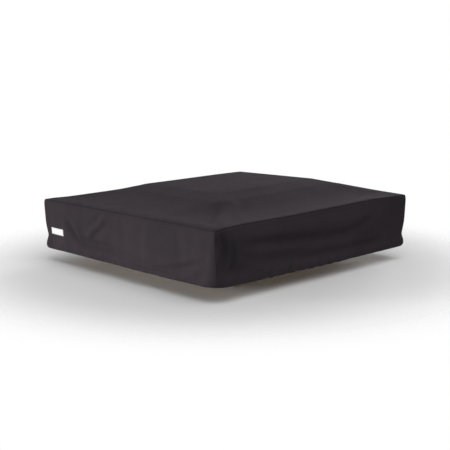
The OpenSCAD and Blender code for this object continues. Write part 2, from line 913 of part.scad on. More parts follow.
// The rings of one face of the cover, from the crown to the hem's lip, shrunk by t
function cover_rings(t) =
    let (rim = skirt_ring(rim_w + t, rim_z - t, 0, rim_sag, 0),
        foot = crown_ring(crown_slope, mix(rim_z, crown_z, 0.8) - t))
    [
        crown_ring(0, crown_z - t),
        foot,
        between_rings(rim, foot, 0.5, top_sag),
        rim,
        skirt_ring(0.3 * rim_w + t, rim_z - 0.3 * rim_w - t, 0, rim_sag, 0),
        skirt_ring(wall_inset + t, rim_z - 1.3 * rim_w, rim_sag / 3, rim_sag, 0),
        skirt_ring(wall_inset + t, hem_z + wall_h, rim_sag, 0, 0),
        skirt_ring(pinch + t, hem_z + pinch_h, rim_sag, 0, gather / 2),
        skirt_ring(gather + t, hem_z + hem_bulge_h, 0, 0, gather),
        skirt_ring(gather + hem_round + t, hem_z + t, 0, 0, gather),
        skirt_ring(gather + hem_lip, hem_z + hem_turn + t, 0, 0, gather)
    ];

module travel_cover() {
    outside = cover_rings(0);
    inside = cover_rings(cover_t);
    rings = concat(outside, [for (r = [len(inside) - 1:-1:0]) inside[r]]);
    n = 4 * side_n;
    last = len(rings) - 1;
    outer_pole = n * len(rings);
    points = concat(
        [for (ring = rings) each ring],
        [[crown_x, crown_y, crown_z], [crown_x, crown_y, crown_z - cover_t]]
    );
    faces = concat(
        [for (i = [0:n - 1]) [outer_pole, (i + 1) % n, i]],
        [for (r = [0:last - 1]) for (i = [0:n - 1]) let (j = (i + 1) % n)
            each [[r * n + i, r * n + j, (r + 1) * n + j], [r * n + i, (r + 1) * n + j, (r + 1) * n + i]]],
        [for (i = [0:n - 1]) [last * n + i, last * n + (i + 1) % n, outer_pole + 1]]
    );
    color("#3b393c") polyhedron(points, faces, convexity = 6);
}

// Plain sewn tag, lying on the skirt's wall
function inset_at(z) = lookup(z, [[hem_z + pinch_h, pinch], [hem_z + wall_h, wall_inset]]);

module cover_tag() {
    low = inset_at(tag_z - tag_h / 2);
    high = inset_at(tag_z + tag_h / 2);
    seat_y = -cover_half_w + (low + high) / 2 - soft_gap;
    lean = atan((low - high) / tag_h);
    color("white") translate([-cover_half_l + tag_inset, seat_y, tag_z]) rotate([lean, 0, 0])
        translate([0, -tag_t, -tag_h / 2]) cube([tag_w, tag_t, tag_h]);
}

mount_rails();
mount_rail_caps();
mount_rail_bolts();
lower_long_rails();
lower_cross_rails();
lower_corner_plugs();
lower_rail_caps();
lower_board();
lower_hinge_plates();
lower_hinge_rivets();
hinge_bolts();
hinge_nuts();
lower_mattress();
lower_straps();
buckle_sockets();
folded_canopy();
travel_cover();
cover_tag();
upper_long_rails();
upper_cross_rails();
upper_corner_plugs();
upper_rail_caps();
upper_board();
upper_hinge_plates();
upper_hinge_rivets();
upper_mattress();
upper_straps();
buckle_tongues();
ladder_brackets();
ladder_pins();
bracket_screws();
outer_bow();
middle_bow();
inner_bow();
ladder_stiles_1();
ladder_stiles_2();
ladder_stiles_3();
ladder_stiles_4();
ladder_stiles_5();
ladder_stiles_6();
ladder_rung_1();
ladder_rung_2();
ladder_rung_3();
ladder_rung_4();
ladder_rung_5();
ladder_rung_6();
ladder_feet();
front_clamp_plates();
front_clamp_bolts();
front_clamp_jaws();
front_clamp_nuts();
rear_clamp_plates();
rear_clamp_bolts();
rear_clamp_jaws();
rear_clamp_nuts();
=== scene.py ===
# %% [markdown]
# # A folded roof tent under its travel cover
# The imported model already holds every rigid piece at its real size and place, in metres.
# This lesson dresses it: the cover is draped by a cloth simulation, the soft pieces inside are
# modelled, and every surface gets a finish made of nodes.

# %% Load the frame
import json
import math
from contextlib import contextmanager

import bpy
import numpy as np
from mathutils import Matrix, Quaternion, Vector, noise
from mathutils.bvhtree import BVHTree


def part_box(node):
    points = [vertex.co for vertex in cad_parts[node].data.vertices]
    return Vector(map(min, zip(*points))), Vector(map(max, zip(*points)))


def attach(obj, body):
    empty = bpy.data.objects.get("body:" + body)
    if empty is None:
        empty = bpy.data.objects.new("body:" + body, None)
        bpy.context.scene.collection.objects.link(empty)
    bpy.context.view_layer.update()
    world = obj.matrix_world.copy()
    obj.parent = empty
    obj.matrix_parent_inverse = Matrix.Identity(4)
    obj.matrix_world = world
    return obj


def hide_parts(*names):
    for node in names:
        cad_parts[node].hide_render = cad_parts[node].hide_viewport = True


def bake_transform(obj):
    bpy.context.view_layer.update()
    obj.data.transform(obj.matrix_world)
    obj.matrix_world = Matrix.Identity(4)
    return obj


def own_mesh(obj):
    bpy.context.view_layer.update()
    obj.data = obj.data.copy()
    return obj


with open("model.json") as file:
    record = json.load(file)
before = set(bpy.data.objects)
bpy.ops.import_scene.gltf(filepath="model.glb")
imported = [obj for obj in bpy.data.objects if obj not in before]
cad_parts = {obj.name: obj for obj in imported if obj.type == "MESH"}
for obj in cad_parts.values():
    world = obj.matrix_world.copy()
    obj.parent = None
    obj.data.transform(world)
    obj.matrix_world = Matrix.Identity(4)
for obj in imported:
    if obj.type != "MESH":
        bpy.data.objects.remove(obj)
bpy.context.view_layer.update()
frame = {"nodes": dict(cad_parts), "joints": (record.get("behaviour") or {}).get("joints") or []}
fold = next(row for row in frame["joints"] if row["name"] == "floor_fold")
fold_axis = Vector(fold["pos_m"])

# %% [markdown]
# ## The camera
# The corners of the cover in the photograph give the direction and the distance of the camera.
# The lens is then the one with which the tent fills the picture, and a slight roll of the camera
# leans the picture as the photograph leans.

# %% Camera
view_azimuth = math.radians(43.7)
view_elevation = math.radians(10.1)
view_distance = 4.2
view_lens = 72.0
view_roll = math.radians(-0.3)
aim = Vector((0.0, 0.0, 0.165))
towards_camera = Vector((
    math.cos(view_azimuth) * math.cos(view_elevation),
    -math.sin(view_azimuth) * math.cos(view_elevation),
    math.sin(view_elevation),
))
bpy.ops.object.camera_add(location=aim + towards_camera * view_distance)
camera = bpy.context.active_object
level = (-towards_camera).to_track_quat("-Z", "Y")
camera.rotation_euler = (level @ Quaternion((0, 0, 1), view_roll)).to_euler()
camera.data.lens = view_lens
bpy.context.scene.camera = camera
bpy.context.scene.view_settings.view_transform = "Standard"
print("camera at", [round(c, 3) for c in camera.location])

# %% [markdown]
# ## Node trees as Python expressions
# Writing `mask * 0.5 + 0.5` is easier to read than adding two Math nodes and their links. This small
# class wraps a socket, and its operators add the nodes. Its method `node` adds a node of any other type.

# %% A socket with operators
class Wire:
    """A socket of a node tree that Python's operators can work on."""

    def __init__(self, tree, socket=None):
        self.tree = tree
        self.socket = socket

    def node(self, kind, settings=None, sockets=None, out=0):
        """Adds a node: its settings first, then the values or wires of its sockets."""
        made = self.tree.nodes.new(kind)
        for name, value in (settings or {}).items():
            setattr(made, name, value)
        for name, value in (sockets or {}).items():
            if isinstance(value, Wire):
                self.tree.links.new(value.socket, made.inputs[name])
            else:
                made.inputs[name].default_value = value
        return Wire(self.tree, made.outputs[out])

    def maths(self, operation, first, second=0.0):
        return self.node("ShaderNodeMath", {"operation": operation}, {0: first, 1: second})

    def __add__(self, other):
        return self.maths("ADD", self, other)

    def __mul__(self, other):
        return self.maths("MULTIPLY", self, other)

    __radd__ = __add__
    __rmul__ = __mul__

    def sine(self):
        return self.maths("SINE", self)

    def into(self, node, name):
        self.tree.links.new(self.socket, node.inputs[name])


# %% [markdown]
# ## Light and floor
# The light is plain: an even pale sky and three large soft lamps, so a colour renders about as it is
# written. One lamp is low on the left of the camera, one is low on the far side, and one is above
# the front. Camera rays see the sky as white. The floor is a pale disc that fades into that white,
# and it keeps the shadow.

# %% Sky and lamps: each lamp's direction, strength and width in degrees
sky_light = 0.18
lamps = [
    ((-0.60, -0.78, 0.06), 2.98, 24),
    ((-0.30, 0.93, 0.07), 2.6, 30),
    ((0.44, -0.10, 0.89), 1.27, 60),
]

world = bpy.data.worlds.new("sky")
world.use_nodes = True
bpy.context.scene.world = world
sky = Wire(world.node_tree)
direct = sky.node("ShaderNodeLightPath", out="Is Camera Ray")
mirror = sky.node("ShaderNodeLightPath", out="Is Glossy Ray")
through = sky.node("ShaderNodeLightPath", out="Is Transmission Ray")
seen = sky.maths("MAXIMUM", sky.maths("MAXIMUM", direct, mirror), through)
background = world.node_tree.nodes["Background"]
background.inputs["Color"].default_value = (1, 1, 1, 1)
(seen * (1 - sky_light) + sky_light).into(background, "Strength")

for lamp_from, strength, width in lamps:
    facing = (-Vector(lamp_from)).to_track_quat("-Z", "Y")
    bpy.ops.object.light_add(type="SUN", rotation=facing.to_euler())
    lamp = bpy.context.active_object
    lamp.data.energy = strength
    lamp.data.angle = math.radians(width)
print("lamps:", len(lamps))

# %% Floor
floor_radius = 1.5
floor_full = 0.75

bpy.ops.mesh.primitive_circle_add(vertices=96, radius=floor_radius, fill_type="NGON")
floor = bpy.context.active_object
floor.name = "floor"
floor_finish = bpy.data.materials.new("pale_floor")
floor_finish.use_nodes = True
ground = Wire(floor_finish.node_tree)
place = ground.node("ShaderNodeTexCoord", out="Object")
reach = ground.node("ShaderNodeVectorMath", {"operation": "LENGTH"}, {0: place}, out="Value")
fade = ground.node("ShaderNodeMapRange", {"interpolation_type": "SMOOTHERSTEP"},
                   {"Value": reach, "From Min": floor_full, "From Max": floor_radius})
clear = ground.node("ShaderNodeBsdfTransparent")
paint = floor_finish.node_tree.nodes["Principled BSDF"]
paint.inputs["Base Color"].default_value = (0.93, 0.93, 0.93, 1)
paint.inputs["Roughness"].default_value = 0.9
painted = Wire(ground.tree, paint.outputs[0])
blend_in = ground.node("ShaderNodeMixShader", sockets={0: fade, 1: painted, 2: clear})
blend_in.into(floor_finish.node_tree.nodes["Material Output"], "Surface")
floor.data.materials.append(floor_finish)
print("floor radius", floor_radius)

# %% [markdown]
# ## Helpers for modelling
# An operator acts on all that is selected, so a piece is always made the only selected one first.
# Points are read and written as arrays.

# %% Selecting, points and modifiers
def only(obj):
    """Makes obj the only selected object, and the active one."""
    bpy.ops.object.select_all(action="DESELECT")
    obj.select_set(True)
    bpy.context.view_layer.objects.active = obj
    return obj


def points_of(obj):
    flat = np.empty(len(obj.data.vertices) * 3)
    obj.data.vertices.foreach_get("co", flat)
    return flat.reshape(-1, 3)


def set_points(obj, points):
    obj.data.vertices.foreach_set("co", np.ascontiguousarray(points, float).ravel())
    obj.data.update()


def normals_of(obj):
    flat = np.empty(len(obj.data.vertices) * 3)
    obj.data.vertices.foreach_get("normal", flat)
    return flat.reshape(-1, 3)


def apply_modifiers(obj):
    only(obj)
    for modifier in list(obj.modifiers):
        bpy.ops.object.modifier_apply(modifier=modifier.name)


def join(objects, name):
    """Joins several objects into the first one."""
    only(objects[0])
    for obj in objects[1:]:
        obj.select_set(True)
    bpy.ops.object.join()
    objects[0].name = name
    return objects[0]


@contextmanager
def editing(obj, action="SELECT"):
    """Edit Mode on one object, with all of it selected, none of it, or what was selected before."""
    only(obj)
    bpy.ops.object.mode_set(mode="EDIT")
    if action:
        bpy.ops.mesh.select_all(action=action)
    yield
    bpy.ops.object.mode_set(mode="OBJECT")


def new_grid(across, along, size=1):
    """A flat grid with that many cells each way, as the only selected object."""
    bpy.ops.object.select_all(action="DESELECT")
    bpy.ops.mesh.primitive_grid_add(x_subdivisions=across, y_subdivisions=along, size=size)
    return bpy.context.active_object


def thicken(obj, thickness, offset=-1):
    """Gives a sheet its thickness: inwards for an offset of -1, and to both sides for 0."""
    wall = obj.modifiers.new("wall", "SOLIDIFY")
    wall.thickness = thickness
    wall.offset = offset


def round_off(obj):
    """One level of subdivision, applied, and smooth shading."""
    smoother = obj.modifiers.new("rounded", "SUBSURF")
    smoother.levels = smoother.render_levels = 1
    apply_modifiers(obj)
    bpy.ops.object.shade_smooth()


def ease(low, high, value):
    """0 before low, 1 after high, and a smooth step between."""
    share = np.clip((value - low) / (high - low), 0, 1)
    return share * share * (3 - 2 * share)


def wear(obj, *finishes):
    """Gives a piece its finishes, in the order of its faces' material numbers."""
    obj.data.materials.clear()
    for finish in finishes:
        obj.data.materials.append(finish)


# %% [markdown]
# ## Finishes
# Each finish is a short function. Cloth reads its own UV map, in metres, so that the threads follow
# the cloth. Everything else reads Object coordinates, which are metres too.

# %% Parts that the finishes share
def new_finish(name, colour, roughness, plain=None):
    """A material with its even values set, and a wire to build on."""
    material = bpy.data.materials.new(name)
    material.use_nodes = True
    shader = material.node_tree.nodes["Principled BSDF"]
    shader.inputs["Base Color"].default_value = (*colour, 1)
    shader.inputs["Roughness"].default_value = roughness
    for socket, value in (plain or {}).items():
        shader.inputs[socket].default_value = value
    return material, Wire(material.node_tree), shader


def grain(wire, scale, detail=3.0, stretch=(1, 1, 1)):
    """Noise over the object, with a spot about 1 / scale metres wide."""
    spot = wire.node("ShaderNodeTexCoord", out="Object")
    turned = wire.node("ShaderNodeMapping", sockets={"Vector": spot, "Scale": stretch})
    return wire.node("ShaderNodeTexNoise", sockets={"Vector": turned, "Scale": scale, "Detail": detail})


def two_colours(wire, factor, first, second):
    return wire.node("ShaderNodeMix", {"data_type": "RGBA"},
                     {0: factor, 6: (*first, 1), 7: (*second, 1)}, out=2)


def spread(wire, value, low, high, to_low, to_high):
    """Moves a value from one range to another, and stops at the ends."""
    return wire.node("ShaderNodeMapRange", sockets={
        "Value": value, "From Min": low, "From Max": high, "To Min": to_low, "To Max": to_high})


def relief(wire, shader, height, distance, strength=1.0):
    """Turns a height from 0 to 1 into a bump of that depth."""
    bump = wire.node("ShaderNodeBump", sockets={"Height": height, "Distance": distance, "Strength": strength})
    bump.into(shader, "Normal")


def weave_of(wire, pitch):
    """A plain weave on the piece's own UV map: raised and sunk threads in turn, from 0 to 1."""
    cloth = wire.node("ShaderNodeUVMap", {"uv_map": "cloth"})
    across = wire.node("ShaderNodeSeparateXYZ", sockets={0: cloth}, out=0)
    along = wire.node("ShaderNodeSeparateXYZ", sockets={0: cloth}, out=1)
    turn = math.pi / pitch
    return (across * turn).sine() * (along * turn).sine() * 0.5 + 0.5


# %% Cloth finishes
def cloth_finish(name, colour, pale, roughness, pitch, plain=None):
    """Woven cloth: two close colours in soft patches, slubs along the threads, and the weave, with painted
    shade: raised threads paler and sunk threads darker.
    """
    material, wire, shader = new_finish(name, colour, roughness, plain)
    weave_and_painted_shade = weave_of(wire, pitch)
    patches = spread(wire, grain(wire, 5.0, 5.0), 0.3, 0.7, 0, 1)
    slubs = grain(wire, 90.0, 2.0, (1, 1, 3))
    # Painted light and shade: the weave term makes raised threads paler and sunk threads darker.
    shade = patches * 0.55 + slubs * 0.30 + weave_and_painted_shade * 0.15
    two_colours(wire, shade, colour, pale).into(shader, "Base Color")
    spread(wire, slubs, 0.3, 0.7, roughness - 0.08, roughness + 0.08).into(shader, "Roughness")
    relief(wire, shader, weave_and_painted_shade * 0.6 + slubs * 0.4, 0.0008, 0.5)
    return material


cover_fabric = cloth_finish("cover_fabric", (0.0350, 0.0292, 0.0340), (0.0495, 0.0414, 0.0480), 0.72, 0.0022,
                            {"Specular IOR Level": 0.010})
seam_fabric = cloth_finish("seam_fabric", (0.026, 0.022, 0.025), (0.036, 0.031, 0.035), 0.80, 0.0016,
                           {"Specular IOR Level": 0.015})
canopy_fabric = cloth_finish("canopy_fabric", (0.30, 0.31, 0.29), (0.37, 0.38, 0.355), 0.80, 0.0018)
mattress_fabric = cloth_finish("mattress_fabric", (0.36, 0.34, 0.30), (0.46, 0.44, 0.40), 0.88, 0.0024,
                               {"Sheen Weight": 0.2})
tag_fabric = cloth_finish("tag_fabric", (0.80, 0.80, 0.79), (0.90, 0.90, 0.89), 0.62, 0.0012)
webbing = cloth_finish("webbing", (0.016, 0.016, 0.017), (0.032, 0.032, 0.034), 0.70, 0.0020)
thread = cloth_finish("thread", (0.040, 0.035, 0.039), (0.056, 0.050, 0.055), 0.75, 0.0008,
                      {"Specular IOR Level": 0.015})
print("finishes with the floor:", len(bpy.data.materials))

# %% Metal, plastic, rubber and wood finishes
def metal_finish(name, colour, roughness, stretch):
    """Drawn or cast metal: fine lines along the draw, soft stains, and a little relief."""
    material, wire, shader = new_finish(name, colour, roughness, {"Metallic": 1.0})
    scratch = 0.10
    lines = grain(wire, 60.0, 4.0, stretch)
    stains = grain(wire, 9.0, 4.0)
    dull = tuple(0.82 * c for c in colour)
    two_colours(wire, stains, dull, colour).into(shader, "Base Color")
    rough = lines * scratch + stains * scratch + (roughness - scratch)
    rough.into(shader, "Roughness")
    relief(wire, shader, lines, 0.0002, 0.3)
    return material


def coated_finish(name, colour, roughness, scale, depth):
    """Powder coat, moulded plastic or rubber: a fine even grain, with dust in soft patches."""
    material, wire, shader = new_finish(name, colour, roughness)
    pores = grain(wire, scale, 2.0)
    dust = spread(wire, grain(wire, 14.0, 5.0), 0.45, 0.75, 0, 0.6)
    dusty = tuple(min(1.0, 1.5 * c + 0.01) for c in colour)
    two_colours(wire, dust, colour, dusty).into(shader, "Base Color")
    (pores * 0.12 + dust * 0.10 + (roughness - 0.08)).into(shader, "Roughness")
    relief(wire, shader, pores, depth, 0.4)
    return material


def wood_finish(name, pale, dark):
    """Plywood with a clear coat: long grain along X, and thin plies that show at the edges."""
    material, wire, shader = new_finish(name, pale, 0.5, {"Coat Weight": 0.15})
    long_grain = grain(wire, 22.0, 6.0, (0.12, 1, 1))
    fibres = grain(wire, 160.0, 3.0, (0.06, 1, 1))
    spot = wire.node("ShaderNodeTexCoord", out="Object")
    height = wire.node("ShaderNodeSeparateXYZ", sockets={0: spot}, out=2)
    plies = (height * (2 * math.pi / 0.0035)).sine() * 0.5 + 0.5
    shade = long_grain * 0.55 + fibres * 0.30 + plies * 0.15
    two_colours(wire, spread(wire, shade, 0.3, 0.7, 0, 1), dark, pale).into(shader, "Base Color")
    (fibres * 0.2 + 0.4).into(shader, "Roughness")
    relief(wire, shader, fibres, 0.0003, 0.4)
    return material


frame_metal = coated_finish("frame_metal", (0.022, 0.023, 0.025), 0.46, 700.0, 0.0002)
bare_aluminium = metal_finish("bare_aluminium", (0.62, 0.63, 0.64), 0.40, (0.03, 1, 1))
bow_aluminium = metal_finish("bow_aluminium", (0.60, 0.61, 0.62), 0.36, (0.2, 0.2, 1))
ladder_aluminium = metal_finish("ladder_aluminium", (0.66, 0.67, 0.68), 0.34, (1, 0.03, 1))
steel = metal_finish("steel", (0.52, 0.52, 0.50), 0.38, (1, 1, 1))
clamp_metal = coated_finish("clamp_metal", (0.018, 0.018, 0.019), 0.55, 500.0, 0.0003)
black_plastic = coated_finish("black_plastic", (0.014, 0.014, 0.015), 0.48, 900.0, 0.0002)
rung_plastic = coated_finish("rung_plastic", (0.040, 0.041, 0.044), 0.52, 800.0, 0.0002)
foot_rubber = coated_finish("foot_rubber", (0.012, 0.012, 0.012), 0.80, 450.0, 0.0004)
board_wood = wood_finish("board_wood", (0.52, 0.36, 0.20), (0.36, 0.23, 0.12))
window_mesh = cloth_finish("window_mesh", (0.020, 0.021, 0.022), (0.045, 0.046, 0.048), 0.6, 0.0030)
print("finishes:", len(bpy.data.materials))

# %% [markdown]
# ## The cut of the travel cover
# On the real tent a fitted cover is pulled over the folded floor. Its rim sits on the upper frame, the
# middle of its top lies on the ladder, and an elastic cord draws the hem in under the floor. A sewer
# cuts one top panel and a skirt. Here a grid is the top panel, and its border is extruded down, row by
# row, to make the skirt and the lip that turns under. Every point keeps its row and its place on the
# grid, so seams and folds can be found again later.

# %% Cut the cloth
cover_low, cover_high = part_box("travel_cover")
cloth_step = 0.0108
cut_l = cover_high.x - 0.0005
cut_w = cover_high.y - 0.0005
cut_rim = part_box("upper_rail_caps")[1].z + 0.008
lip_rows = 3
skirt_rows = round((cut_rim - cover_low.z) / cloth_step)

cover = new_grid(round(2 * cut_l / cloth_step), round(2 * cut_w / cloth_step), size=2)
cover.name = "travel_cover_cloth"
with editing(cover):
    bpy.ops.mesh.region_to_loop()
    for step in range(skirt_rows + lip_rows):
        bpy.ops.mesh.extrude_region_move(TRANSFORM_OT_translate={"value": (0, 0, -1)})

grid = points_of(cover)
row = np.rint(-grid[:, 2]).astype(int)
on_rim = np.isclose(np.max(np.abs(grid[:, :2]), axis=1), 1) & (row == 0)
end_wall = np.abs(grid[:, 0]) > np.abs(grid[:, 1])
print("cloth points:", len(grid), "skirt rows:", skirt_rows)

# %% [markdown]
# ## Its first shape
# The skirt starts with the profile of the fitted cover: a rolled rim, a straight fall, drawn in above
# the hem, round at the hem, and turned under. The frame holds the corners nearly square, but the
# near one hangs loose and gets rounder on the way down. The end walls lean in above a soft shoulder,
# and the far side of the rim stands a little higher than the near side.

# %% Shape the cut
pinch_height = 0.121
profile_z = [cover_low.z, 0.066, 0.076, 0.092, pinch_height, 0.150, 0.185, cut_rim]
profile_in = [0.0075, 0.0035, 0.0010, 0.0015, 0.0090, 0.0055, 0.0020, 0.0]
down = np.minimum(row, skirt_rows) / skirt_rows
under = np.maximum(row - skirt_rows, 0)
quarter = 1 - math.sqrt(0.5)
far_lift = 0.012
tight_roll, loose_roll, end_wall_roll = 0.011, 0.024, 0.015
rim_line = cut_rim + far_lift * ease(-0.35, 1.0, grid[:, 1])
near_corner = ease(0.55, 1.0, grid[:, 0]) * ease(0.55, 1.0, -grid[:, 1])
to_near_side, to_far_side = ease(0.74, 1.0, -grid[:, 1]), ease(0.55, 0.90, grid[:, 1])
towards_middle = 1 - np.where(grid[:, 1] < 0, to_near_side, to_far_side)
side_roll = tight_roll + (loose_roll - tight_roll) * near_corner
end_roll = side_roll + (end_wall_roll - side_roll) * towards_middle
roll = np.where(end_wall, end_roll, side_roll)


def rolled(radius, distance):
    """How far a rolled edge falls back, at a distance from the plane that it leaves."""
    left = np.clip(radius - distance, 0, radius)
    return radius - np.sqrt(radius ** 2 - left ** 2)


rim_z = rim_line - quarter * roll
z = rim_z + down * (cover_low.z - rim_z)
inset = np.interp(z, profile_z, profile_in) + under * 0.8 * cloth_step
shoulder_low, shoulder_in = 0.238, 0.025
pinch_in, pinch_reach = 0.010, 0.028
lean = np.clip((z - shoulder_low) / (rim_z - shoulder_low), 0, 1) ** 1.15
shoulder = shoulder_in * towards_middle * lean
shoulder += pinch_in * towards_middle * np.exp(-((z - pinch_height) / pinch_reach) ** 2)
end_inset = shoulder + np.where(row == 0, quarter * end_roll, inset + rolled(end_roll, rim_line - z))
side_inset = np.where(row == 0, quarter * side_roll, inset + rolled(side_roll, rim_line - z))
half_x = cut_l - end_inset
half_y = cut_w - side_inset
loose = (grid[:, 0] > 0) & (grid[:, 1] < 0)
rim_corner, held_corner, upper_corner, hem_corner = 0.012, 0.010, 0.026, 0.037
hanging = upper_corner * ease(0, 0.35, down) + hem_corner * ease(0.62, 1.0, down)
corner = rim_corner + np.where(loose, hanging, held_corner * down)

x, y = grid[:, 0] * half_x, grid[:, 1] * half_y
past_x = np.abs(x) - (half_x - corner)
past_y = np.abs(y) - (half_y - corner)
in_corner = (past_x > 0) & (past_y > 0)
pull = np.where(in_corner, np.maximum(past_x, past_y) / np.maximum(np.hypot(past_x, past_y), 1e-9), 1)
x = np.where(in_corner, np.sign(x) * (half_x - corner + past_x * pull), x)
y = np.where(in_corner, np.sign(y) * (half_y - corner + past_y * pull), y)

# The top slopes from where the ladder lies down to the rim
crown_back, crown_front, crown_near, crown_far = -0.49, 0.030, -0.065, 0.590
slope = np.max([
    (x - crown_front) / (cut_l - crown_front),
    (crown_back - x) / (cut_l + crown_back),
    (y - crown_far) / (cut_w - crown_far),
    (crown_near - y) / (cut_w + crown_near),
    np.zeros(len(x)),
], axis=0)
far = np.clip((y - crown_near) / (crown_far - crown_near), 0, 1)
ahead = np.clip((x - crown_back) / (crown_front - crown_back), 0, 1)
crown_height, far_fall, far_front_rise = 0.029, 0.0075, 0.0070
crown_rise = crown_height + far * (far_front_rise * ahead - far_fall)
near_power, far_power = 2, 1.2
steepness = near_power + (far_power - near_power) * ease(0.1, 0.6, y)
roof = crown_rise * (1 - np.minimum(slope, 1)) ** steepness
roof -= np.maximum(rolled(end_roll, cut_l - np.abs(x)), rolled(side_roll, cut_w - np.abs(y)))
z = np.where(row == 0, rim_line + roof, z + 0.0015 * under)
cut = np.stack([x, y, z], 1)
set_points(cover, cut)
print("cut box:", cut.min(0).round(3), cut.max(0).round(3))

# %% A UV map in metres
def map_cloth(obj, at):
    """A UV map named cloth: each face reads the two axes that it faces least, in metres."""
    cloth_map = obj.data.uv_layers.new(name="cloth")
    corners = np.empty(len(obj.data.loops), int)
    obj.data.loops.foreach_get("vertex_index", corners)
    sizes = [len(face.vertices) for face in obj.data.polygons]
    normals = np.repeat(np.array([face.normal for face in obj.data.polygons]), sizes, axis=0)
    level = np.abs(normals[:, 2]) > 0.7
    sideways = np.abs(normals[:, 1]) > np.abs(normals[:, 0])
    at = at[corners]
    first = np.where(level | sideways, at[:, 0], at[:, 1])
    second = np.where(level, at[:, 1], at[:, 2])
    cloth_map.data.foreach_set("uv", np.stack([first, second], 1).ravel())


map_cloth(cover, cut)

# %% [markdown]
# ## Let it sag
# A cloth simulation gives the sag. What holds the cloth is pinned: the rim on the frame, the middle
# of the top on the ladder, the lip under the floor, and more loosely the drawn-in line, the upright
# corners and the shoulders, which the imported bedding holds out. The skirt is cut a little too large, so
# it buckles and sags between them. The top is cut a little too small, so it is taut.

# %% Simulate
drape_frames = 40
skirt_spare = 0.002
top_tight = 0.004
rail_reach = 0.064
top_hold, pinch_hold, corner_hold, shoulder_hold = 0.9, 0.18, 0.22, 0.7


def group(name, weights):
    """A vertex group with a weight for each point, in steps of 0.01."""
    made = cover.vertex_groups.new(name=name)
    steps = np.rint(np.array(weights) * 100).astype(int)
    for level in np.unique(steps[steps > 0]):
        made.add([int(i) for i in np.nonzero(steps == level)[0]], level / 100, "REPLACE")
    return name


upright = (np.abs(grid[:, 0]) > 0.985) & (np.abs(grid[:, 1]) > 0.985) & (row > 0)
on_rails = np.minimum(cut_l - np.abs(x), cut_w - np.abs(y)) < rail_reach
held = np.where((slope < 0.25) | on_rails, top_hold, 0.0) * (row == 0)
held = np.where(np.abs(cut[:, 2] - pinch_height) < 0.8 * cloth_step, pinch_hold, held)
held = np.where(upright, corner_hold, held)
on_shoulder = end_wall & (row > 0) & (cut[:, 2] > shoulder_low - 0.02)
held = np.where(on_shoulder, shoulder_hold * towards_middle, held)
held = np.where(on_rim | (row == 1) | (under > 0), 1.0, held)
uneven_by = 0.004
uneven = np.array([noise.noise(Vector(p) * 7 + Vector((3, 1, 7))) for p in cut]) * uneven_by
outward = np.stack([np.sign(x) * end_wall, np.sign(y) * ~end_wall, np.zeros(len(x))], 1)
set_points(cover, cut + outward * (uneven * (held == 0) * (row > 0))[:, None])

cloth = cover.modifiers.new("sag", "CLOTH")
cloth.settings.quality = 6
cloth.settings.mass = 0.3
cloth.settings.air_damping = 3.0
cloth.settings.tension_stiffness = 40
cloth.settings.compression_stiffness = 40
cloth.settings.shear_stiffness = 15
cloth.settings.bending_stiffness = 8.0
cloth.settings.vertex_group_mass = group("held", held)
cloth.settings.pin_stiffness = 1.0
cloth.settings.vertex_group_shrink = group("tight", np.where(row == 0, 1.0, 0.0))
cloth.settings.shrink_min = -skirt_spare
cloth.settings.shrink_max = top_tight
cloth.collision_settings.use_collision = False
bpy.context.scene.frame_end = drape_frames
for moment in range(1, drape_frames + 1):
    bpy.context.scene.frame_set(moment)
apply_modifiers(cover)
cover.modifiers.clear()
draped = points_of(cover)
print("draped box:", draped.min(0).round(3), draped.max(0).round(3))

# %% [markdown]
# ## Folds from the photograph
# The simulation gives the sag. The longer creases that show in the photograph, and the pleats at the
# hem, are pressed in, each as a path on a panel: how wide, how deep, and how much the cloth
# swells beside it. The two panels that the photograph doesn't show get creases of the same kind.

# %% Press the folds
panels = {
    "top": (row == 0, cut[:, 0], cut[:, 1], (0, 0, 1)),
    "right": ((row > 0) & ~end_wall & (y < 0), cut[:, 0], cut[:, 2], (0, -1, 0)),
    "left": ((row > 0) & ~end_wall & (y > 0), cut[:, 0], cut[:, 2], (0, 1, 0)),
    "front": ((row > 0) & end_wall & (x > 0), cut[:, 1], cut[:, 2], (1, 0, 0)),
    "rear": ((row > 0) & end_wall & (x < 0), cut[:, 1], cut[:, 2], (-1, 0, 0)),
}


def crease(points, panel, path, width, depth, swell=0.5):
    """Moves the cloth along a path: in for a positive depth, and a little out on both sides."""
    mask, across, along, out = panels[panel]
    path = np.array(path)
    spans = np.diff(path, axis=0)
    lengths = np.hypot(*spans.T)
    starts = np.concatenate([[0], np.cumsum(lengths)])
    nearest = np.full(len(points), np.inf)
    place = np.zeros(len(points))
    for begin, span, length, start in zip(path, spans, lengths, starts):
        share = np.clip(((across - begin[0]) * span[0] + (along - begin[1]) * span[1]) / length ** 2, 0, 1)
        gap = np.hypot(across - begin[0] - share * span[0], along - begin[1] - share * span[1])
        place = np.where(gap < nearest, (start + share * length) / starts[-1], place)
        nearest = np.minimum(gap, nearest)
    fade = ease(0, 0.25, place) * (1 - ease(0.75, 1, place)) * 0.85 + 0.15
    gap = nearest / width
    shape = np.exp(-gap ** 2) - swell * np.exp(-(gap - 1.7) ** 2)
    points += np.outer(-depth * shape * fade * mask, out)


